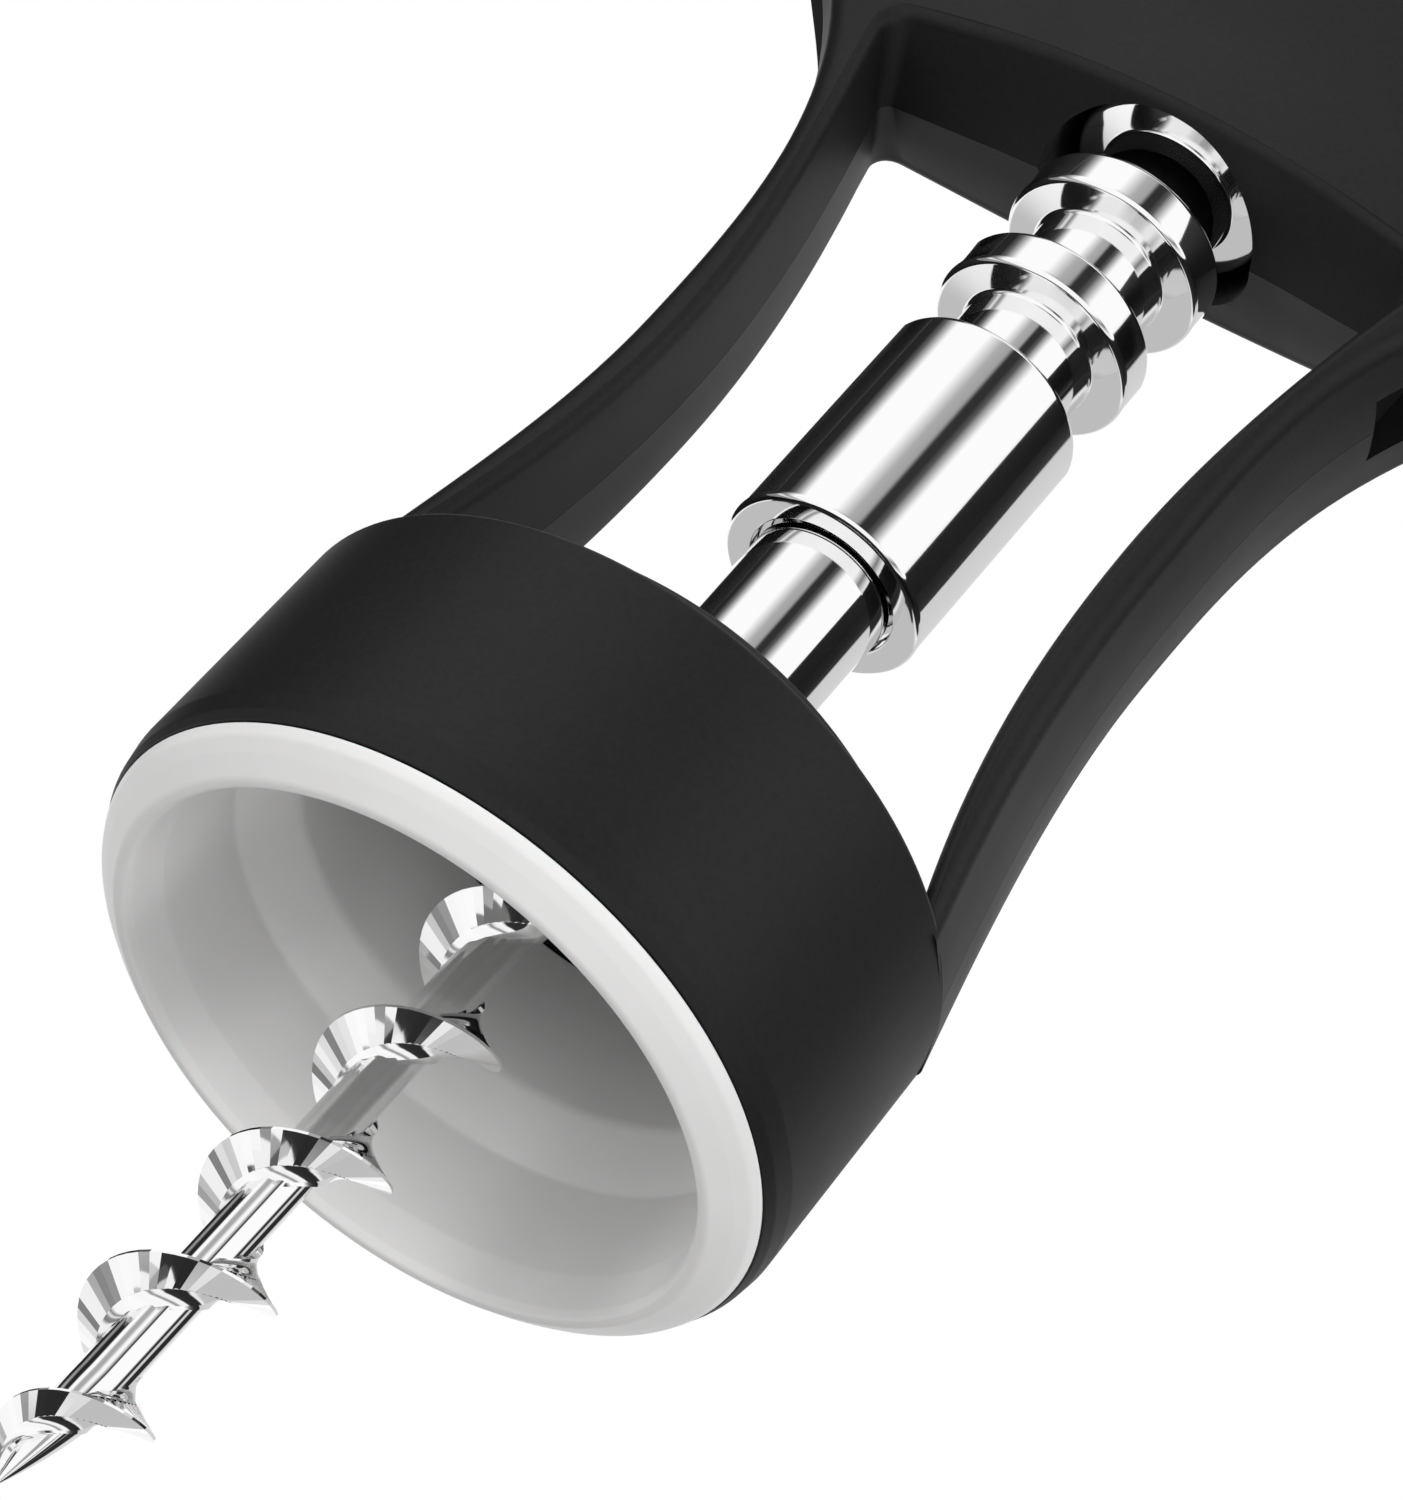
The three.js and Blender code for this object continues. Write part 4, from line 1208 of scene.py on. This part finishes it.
@dataclass
class Handle:
    """The bow handle: a soft bow round an eye that a steel cap lifter lines."""

    bottom: float = 113.9
    bottom_half_width: float = 8.2
    half_width: float = 24.0
    middle: float = 130.0
    top: float = 147.0
    half_depth: float = 6.2
    outer_round: float = 2.6
    eye_round: float = 2.2
    crown: float = 0.05
    eye_half_width: float = 16.0
    eye_bottom: float = 123.5
    eye_top: float = 141.0
    plate_half: float = 1.1
    plate_sunk: float = 0.8
    plate_shown: float = 0.3
    plate_round: float = 0.3
    rim: float = 1.6
    lip_height: float = 4.6
    lip_half_width: float = 6.5
    lip_notch: float = 0.35
    lip_edge: float = 0.25
    pin_height: float = 117.6
    pin_radius: float = 1.3
    pin_end: float = 0.02

    def outer(self) -> Profile:
        """The bow's outline.

        Returns:
            (x, z) points from the middle of its foot round to the right, the top and back.
        """
        side = sweep((self.bottom_half_width, self.bottom), 0, (self.half_width, self.middle), 0, 22)
        foot = [(self.bottom_half_width * i / 8, self.bottom) for i in range(8)]
        dome = arc((0, 0), 1, 0, 90, 20)[1:]
        rise = self.top - self.middle
        right = foot + side + [(self.half_width * c, self.middle + rise * s) for c, s in dome]
        return right + [(-x, z) for x, z in reversed(right[1:-1])]

    def eye(self, inset: float, count: int) -> Profile:
        """The eye's outline, drawn in by an inset, from its lowest point round to the right.

        Args:
            inset: how far inside the bow's own edge.
            count: how many points.

        Returns:
            (x, z) points.
        """
        middle = (self.eye_bottom + self.eye_top) / 2
        tall = (self.eye_top - self.eye_bottom) / 2 - inset
        wide = self.eye_half_width - inset
        turns = [2 * math.pi * i / count - math.pi / 2 for i in range(count)]
        return [(wide * math.cos(a), middle + tall * math.sin(a)) for a in turns]

    def bow(self) -> BMesh:
        """The bow, a band with a rounded section.

        Returns:
            The bow's bmesh.
        """
        outer = self.outer()
        rounds = (self.eye_round, self.outer_round)
        return band(outer, self.eye(0, len(outer)), self.half_depth, rounds, 6, self.crown)

    def lifter(self) -> BMesh:
        """The cap lifter: a pressed ring with a bent-in lip that catches under a cap's edge.

        Returns:
            The ring and the lip.
        """
        outer, inner = self.eye(-self.plate_sunk, 96), self.eye(self.plate_shown + self.rim, 96)
        ring = band(outer, inner, self.plate_half, (self.plate_round, 0), 4)
        base = self.eye_bottom + self.plate_shown + self.rim / 2
        tip = self.eye_bottom + self.lip_height
        half = self.lip_half_width
        corners = [
            (-half, base, 0),
            (half, base, 0),
            (half * 0.5, tip, 1.0),
            (0, tip - self.lip_notch, 2.0),
            (-half * 0.5, tip, 1.0),
        ]
        lip = slab(rounded(corners, 5, closed=True), -self.plate_half, self.plate_half, self.lip_edge)
        return added(ring, lip)

    def cross_pin(self) -> BMesh:
        """The pin through bow and spindle, with rounded ends.

        Returns:
            The pin's bmesh.
        """
        end = self.half_depth - self.pin_end
        corners = [(0, -end, 0), (self.pin_radius, -end, 0.5), (self.pin_radius, end, 0.5), (0, end, 0)]
        return crosswise(turned(rounded(corners, 5), 48, closed=False), 0, self.pin_height)

    def build(self) -> None:
        """Builds the bow, the cap lifter and the cross pin."""
        finished(self.bow(), "soft_bow", SOFT_BLACK, Part.SPINDLE, "handle_bow")
        finished(self.lifter(), "eye_plate", STEEL, Part.SPINDLE, "cap_lifter")
        finished(self.cross_pin(), "cross_pin", STEEL, Part.SPINDLE, "handle_cross_pin")


@dataclass
class Lever:
    """One wing: the toothed chrome lever with its grip, rivet, pin and cap."""

    side: Side
    angle: float = 54.0
    grip_start: float = 27.0
    grip_end: float = 82.0
    neck_half_width: float = 4.9
    palm_half_width: float = 7.4
    neck_half_thickness: float = 3.9
    palm_half_thickness: float = 5.2
    swell_start: float = 0.05
    swell_end: float = 0.72
    neck_size: float = 0.8
    neck_round: float = 0.9
    neck_run: float = 1.2
    dome: float = 7.0
    dome_fullness: float = 0.7
    square: float = 0.7
    mouth_half_width: float = 4.25
    mouth_depth: float = 4.2
    mouth_half_thickness: float = 2.25
    mouth_run_out: float = 2.0
    gear_weld: float = 0.002
    gear_round: float = 0.22
    gear_crease: float = 60.0
    rivet_place: float = 39.0
    rivet_head: float = 2.3
    rivet_shank: float = 1.4
    rivet_rise: float = 0.9
    rivet_clearance: float = 0.3
    pin_seat: float = 5.76
    pin_head: float = 3.6
    pin_head_height: float = 0.9
    pin_shank: float = 2.0
    pin_shank_end: float = -4.0
    cap_shank_end: float = 3.0

    def placed(self, bm: BMesh) -> BMesh:
        """Turns a piece that was built along +X from the pivot to its place at rest.

        Args:
            bm: the piece; it is moved.

        Returns:
            The same bmesh.
        """
        turn = Matrix.Rotation(-math.radians(self.angle), 4, "Y")
        place = Matrix.Translation((PIVOT_SPACING, 0, PIVOT_HEIGHT)) @ turn
        if self.side is Side.LEFT:
            place = Matrix.Rotation(math.pi, 4, "Z") @ place
        bmesh.ops.transform(bm, matrix=place, verts=bm.verts[:])
        return bm

    def fullness(self, place: float) -> float:
        """How far the grip has filled out, from 0 at the neck to 1 at the palm."""
        share = (place - self.grip_start) / (self.grip_end - self.grip_start)
        return smooth(share, self.swell_start, self.swell_end)

    def half_thickness(self, place: float) -> float:
        """Half the grip's thickness at a distance from the pivot."""
        return mix(self.neck_half_thickness, self.palm_half_thickness, self.fullness(place))

    def ring(self, place: float, size: float) -> list[Point3]:
        """The grip's section at a place along the lever.

        Args:
            place: distance from the pivot.
            size: 1 for the full section.

        Returns:
            Points round the section.
        """
        thick = size * self.half_thickness(place)
        wide = size * mix(self.neck_half_width, self.palm_half_width, self.fullness(place))
        out = []
        for i in range(56):
            angle = 2 * math.pi * i / 56
            c, s = math.cos(angle), math.sin(angle)
            y = thick * math.copysign(abs(c) ** self.square, c)
            out.append((place, y, wide * math.copysign(abs(s) ** self.square, s)))
        return out

    def grip(self) -> BMesh:
        """The soft grip: slim at the neck, full in the palm, with a mouth for the lever's web.

        Returns:
            The grip, along +X from the pivot.
        """
        start = self.grip_start
        rings = []
        for angle in (0, 0.4, 0.8, 1.2, 1.57):
            size = mix(self.neck_size, 1.0, math.sin(angle))
            rings.append(self.ring(start + self.neck_round * (1 - math.cos(angle)), size))
        domed = self.grip_end - self.dome
        rings += [self.ring(mix(start + self.neck_run, domed, i / 28), 1.0) for i in range(29)]
        # The last ring stops short of the dome's pole, where it is closed.
        for i in range(1, 13):
            angle = math.pi / 2 * i / 12.4
            rings.append(self.ring(domed + self.dome * math.sin(angle), math.cos(angle) ** self.dome_fullness))
        opening, bottom = start - self.mouth_run_out, start + self.mouth_depth
        wide = self.mouth_half_width
        mouth = [(opening, -wide), (bottom, -wide), (bottom, wide), (opening, wide)]
        return carved(lofted(rings), [slab(mouth, -self.mouth_half_thickness, self.mouth_half_thickness)])

    def gear(self) -> BMesh:
        """The lever's own solid, its facets joined up again and its rims rounded.

        Returns:
            The gear, in its place at rest.
        """
        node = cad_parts[f"lever_gear_{self.side.word}"]
        bm = bmesh.new()
        bm.from_mesh(node.data)
        bmesh.ops.scale(bm, vec=(1 / MM,) * 3, verts=bm.verts[:])
        bmesh.ops.remove_doubles(bm, verts=bm.verts[:], dist=self.gear_weld)
        bmesh.ops.dissolve_limit(bm, angle_limit=math.radians(1), verts=bm.verts[:], edges=bm.edges[:])
        sharp = math.radians(self.gear_crease)
        rims = [e for e in bm.edges if len(e.link_faces) == 2 and e.calc_face_angle(0) > sharp]
        rounding = dict(offset=self.gear_round, segments=2, profile=0.5, clamp_overlap=True)
        bmesh.ops.bevel(bm, geom=rims, affect="EDGES", material=-1, **rounding)
        return bm

    def rivet(self) -> BMesh:
        """The rivet through grip and tang, domed at both ends.

        Returns:
            The rivet, along +X from the pivot.
        """
        face = self.half_thickness(self.rivet_place)
        top = face + self.rivet_clearance + self.rivet_rise
        half = [
            (0.0, top, 0.0),
            (self.rivet_head * 0.55, top, 1.2),
            (self.rivet_head, top - self.rivet_rise * 0.75, 0.5),
            (self.rivet_head, face - 0.1, 0.05),
            (self.rivet_shank, face - 0.1, 0),
        ]
        line = [(r, -z, e) for r, z, e in half] + half[::-1]
        return crosswise(turned(rounded(line, 5), 48, closed=False), self.rivet_place, 0)

    def pin(self, back: bool) -> BMesh:
        """The pivot pin's head in front, or its cap at the back.

        Args:
            back: whether it is the cap.

        Returns:
            The piece, set on the pivot.
        """
        shank_end = self.cap_shank_end if back else self.pin_shank_end
        under = self.pin_seat - 0.2
        top = self.pin_seat + self.pin_head_height
        corners = [
            (0, shank_end, 0),
            (self.pin_shank, shank_end, 0.2),
            (self.pin_shank, under, 0),
            (self.pin_head, under, 0.05),
            (self.pin_head, top - 0.45, 0.4),
            (self.pin_head * 0.62, top, 0.9),
            (1.2, top, 0.12),
            (0.95, top - 0.35, 0.25),
            (0, top - 0.45, 0),
        ]
        bm = turned(rounded(corners, 6), 96, closed=False)
        return crosswise(bm, self.side.value * PIVOT_SPACING, PIVOT_HEIGHT, back=back)

    def build(self) -> None:
        """Builds the wing."""
        word, part = self.side.word, self.side.part
        finished(self.gear(), f"toothed_lever_{word}", CHROME, part, f"lever_gear_{word}")
        finished(self.placed(self.grip()), f"palm_grip_{word}", SOFT_BLACK, part, f"lever_grip_{word}")
        finished(self.placed(self.rivet()), f"domed_rivet_{word}", STEEL, part, f"grip_rivet_{word}")
        finished(self.pin(False), f"pivot_pin_{word}", STEEL, Part.BODY, f"lever_pin_{word}")
        finished(self.pin(True), f"pivot_cap_{word}", STEEL, Part.BODY, f"pin_cap_{word}")


@dataclass
class Collar:
    """The chrome ring on the head that the rack slides through."""

    bottom: float = 104.8
    top: float = 107.4
    radius: float = 8.4
    bore: float = 6.2

    def build(self) -> None:
        """Builds the collar."""
        corners = [
            (self.bore, self.bottom, 0.1),
            (self.radius, self.bottom, 0.3),
            (self.radius, self.top, 0.8),
            (self.bore, self.top, 0.4),
        ]
        ring = turned(rounded(corners, 6, closed=True), 128)
        finished(ring, "guide_ring", CHROME, Part.BODY, "head_collar")


@dataclass
class Studio:
    """The photographer's room: a white world, a striped screen that the chrome mirrors, a floor and lamps.

    Its sizes are metres. The tones are the screen's greys by the angle about +Z, in degrees from +X.
    """

    camera_place: Point3 = (0.11512909, -0.27122714, -0.17343647)
    camera_turn: tuple[float, float, float, float] = (0.39826544, 0.87157297, -0.14082605, 0.24882369)
    lens: float = 168.0
    sensor: float = 36.0
    floor_height: float = -0.29
    floor_half: float = 3.0
    floor_seen: str = "#f4f4f4"
    floor_lit: str = "#a8a8a8"
    fill: float = 0.62
    screen_hole: float = 0.02
    screen_radius: float = 0.62
    screen_gap: float = 0.01
    screen_top: float = 1.1
    screen_split: float = 0.03
    screen_blend: float = 0.03
    screen_glow: float = 1.07
    high_tones: tuple[Point, ...] = (
        (-180, 0.018), (-164, 0.02), (-157, 0.12), (-151, 0.4), (-143, 1.0), (-107, 1.0), (-98, 0.66),
        (-91, 0.42), (-81, 0.36), (-77, 0.03), (-69, 0.03), (-63, 0.1), (-57, 0.45), (-50, 1.0), (-13, 1.0),
        (-7, 0.7), (1, 0.2), (9, 0.07), (18, 0.03), (36, 0.015), (39, 0.62), (90, 0.66), (98, 1.0),
        (140, 1.0), (148, 0.02), (180, 0.018),
    )
    low_tones: tuple[Point, ...] = (
        (-180, 0.9), (-173, 0.22), (-165, 0.25), (-160, 0.85), (-154, 0.2), (-146, 0.95), (-100, 1.0),
        (-60, 0.95), (-40, 1.0), (-28, 0.2), (-16, 0.9), (2, 0.95), (8, 0.03), (48, 0.02), (53, 0.9),
        (58, 0.8), (66, 0.52), (130, 0.52), (136, 1.0), (150, 0.9), (158, 0.1), (166, 0.9), (180, 0.9),
    )

    def prop(self, bm: BMesh, name: str, material: Material) -> Object:
        """Stages a thing of the room.

        Args:
            bm: its shape in metres; it is freed.
            name: its name.
            material: its material.

        Returns:
            The object.
        """
        mesh = mesh_from(bm, name)
        mesh.materials.append(material)
        obj = linked(name, mesh)
        return obj

    def screen(self) -> None:
        """A round screen with pale and dark stripes and a bottom, seen only by what mirrors it."""
        material = bpy.data.materials.new("striped_screen")
        tree = empty_tree(material)
        place = add_node(tree, "ShaderNodeTexCoord").outputs["Object"]
        around = add_node(tree, "ShaderNodeTexGradient", {"gradient_type": "RADIAL"}, {"Vector": place})
        height = add_node(tree, "ShaderNodeSeparateXYZ", links={"Vector": place}).outputs["Z"]
        low, high = self.screen_split - self.screen_blend, self.screen_split + self.screen_blend
        share = add_node(tree, "ShaderNodeMapRange", {"From Min": low, "From Max": high}, {"Value": height})
        mixed = {MIX_FACTOR: share.outputs["Result"]}
        for socket, tones in ((MIX_A, self.low_tones), (MIX_B, self.high_tones)):
            ramp = add_node(tree, "ShaderNodeValToRGB", links={"Fac": around.outputs["Fac"]})
            stops = ramp.color_ramp.elements
            for index, (angle, tone) in enumerate(tones):
                stop = stops[index] if index < 2 else stops.new(1.0)
                stop.position = angle / 360 + 0.5
                stop.color = (tone, tone, tone, 1.0)
            mixed[socket] = ramp.outputs["Color"]
        stripes = add_node(tree, "ShaderNodeMix", {"data_type": "RGBA"}, mixed).outputs[MIX_RESULT]
        glow = add_node(tree, "ShaderNodeEmission", {"Strength": self.screen_glow}, {"Color": stripes})
        add_node(tree, "ShaderNodeOutputMaterial", links={"Surface": glow.outputs["Emission"]})
        bottom = self.floor_height + self.screen_gap
        side = [(self.screen_radius, z) for z in (bottom, self.screen_split, self.screen_top)]
        bm = turned([(self.screen_hole, bottom), *side], 120, closed=False)
        obj = self.prop(bm, "studio_screen", material)
        obj.visible_camera = False
        obj.visible_diffuse = False
        obj.visible_shadow = False
        obj.visible_transmission = False

    def floor(self) -> None:
        """A pale floor well below the object, clear to a camera underneath it."""
        material = bpy.data.materials.new("pale_floor")
        tree = empty_tree(material)
        ray = add_node(tree, "ShaderNodeLightPath").outputs["Is Camera Ray"]
        behind = add_node(tree, "ShaderNodeNewGeometry").outputs["Backfacing"]
        pale, dim = (
            add_node(tree, "ShaderNodeBsdfDiffuse", {"Color": linear(code)}).outputs[0]
            for code in (self.floor_seen, self.floor_lit)
        )
        clear = add_node(tree, "ShaderNodeBsdfTransparent").outputs[0]
        shown = add_node(tree, "ShaderNodeMixShader", links={0: ray, 1: dim, 2: pale}).outputs[0]
        upper = add_node(tree, "ShaderNodeMixShader", links={0: behind, 1: shown, 2: clear}).outputs[0]
        add_node(tree, "ShaderNodeOutputMaterial", links={"Surface": upper})
        bm = bmesh.new()
        bmesh.ops.create_grid(bm, x_segments=8, y_segments=8, size=self.floor_half)
        bmesh.ops.translate(bm, vec=(0, 0, self.floor_height), verts=bm.verts[:])
        self.prop(bm, "studio_floor", material)

    def world(self) -> None:
        """White where the camera, a mirror or a clear thing shows it, and a mild light otherwise."""
        world = bpy.data.worlds.new("studio")
        tree = empty_tree(world)
        rays = add_node(tree, "ShaderNodeLightPath").outputs
        shown = rays["Is Camera Ray"]
        for name in ("Is Glossy Ray", "Is Transmission Ray"):
            either = {0: shown, 1: rays[name]}
            shown = add_node(tree, "ShaderNodeMath", {"operation": "MAXIMUM"}, either).outputs[0]
        white, mild = (
            add_node(tree, "ShaderNodeBackground", {"Color": (1, 1, 1, 1), "Strength": strength}).outputs[0]
            for strength in (1.0, self.fill)
        )
        both = add_node(tree, "ShaderNodeMixShader", links={0: shown, 1: mild, 2: white})
        add_node(tree, "ShaderNodeOutputWorld", links={"Surface": both.outputs[0]})
        bpy.context.scene.world = world

    def lamp(self, name: str, place: Point3, aim: Point3, size: float, power: float) -> None:
        """A square soft lamp that points at a place.

        Args:
            name: the lamp's name.
            place: where it hangs.
            aim: what it points at.
            size: its side.
            power: its power in watts.
        """
        data = bpy.data.lights.new(name, "AREA")
        data.shape = "SQUARE"
        data.size = size
        data.energy = power
        obj = linked(name, data)
        obj.location = place
        obj.rotation_mode = "QUATERNION"
        obj.rotation_quaternion = (Vector(aim) - Vector(place)).to_track_quat("-Z", "Y")
        obj.visible_glossy = False

    def camera(self) -> None:
        """The camera, below the object and to its right, looking up."""
        data = bpy.data.cameras.new("camera")
        data.sensor_fit = "VERTICAL"
        data.sensor_height = self.sensor
        data.lens = self.lens
        data.clip_start = 0.01
        data.clip_end = 20.0
        obj = linked("camera", data)
        obj.rotation_mode = "QUATERNION"
        obj.rotation_quaternion = self.camera_turn
        obj.location = self.camera_place
        bpy.context.scene.camera = obj

    def build(self) -> None:
        """Sets up the room."""
        self.world()
        self.floor()
        self.screen()
        self.lamp("key_lamp", place=(-0.5, -0.9, 0.7), aim=(0, 0, 0.04), size=0.7, power=4.0)
        self.lamp("fill_lamp", place=(0.9, -0.5, 0.35), aim=(0, 0, 0.04), size=0.7, power=2.0)
        self.lamp("top_lamp", place=(0.1, 0.2, 1.1), aim=(0, 0, 0.05), size=0.8, power=2.5)
        self.lamp("left_low_lamp", place=(-0.25, -0.43, -0.18), aim=(0, 0, 0.01), size=0.36, power=1.45)
        self.lamp("right_low_lamp", place=(0.45, -0.18, -0.15), aim=(0, 0, 0.01), size=0.3, power=1.15)
        self.camera()
        bpy.context.scene.view_settings.view_transform = "Standard"


def keep_sizes() -> None:
    def plain(bounds: object) -> list[list[float]]:
        """A box as two lists of numbers."""
        return [[float(value) for value in corner] for corner in bounds]


def main() -> None:
    """Builds every sub-assembly in order, from the bell up, and the room round them."""
    logging.basicConfig(level=logging.INFO, format="%(message)s")
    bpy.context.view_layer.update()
    Studio().build()
    Bell().build()
    BodyShells().build()
    Collar().build()
    Rack().build()
    Spindle().build()
    Handle().build()
    for side in Side:
        Lever(side).build()
    keep_sizes()


if __name__ == "__main__":
    main()
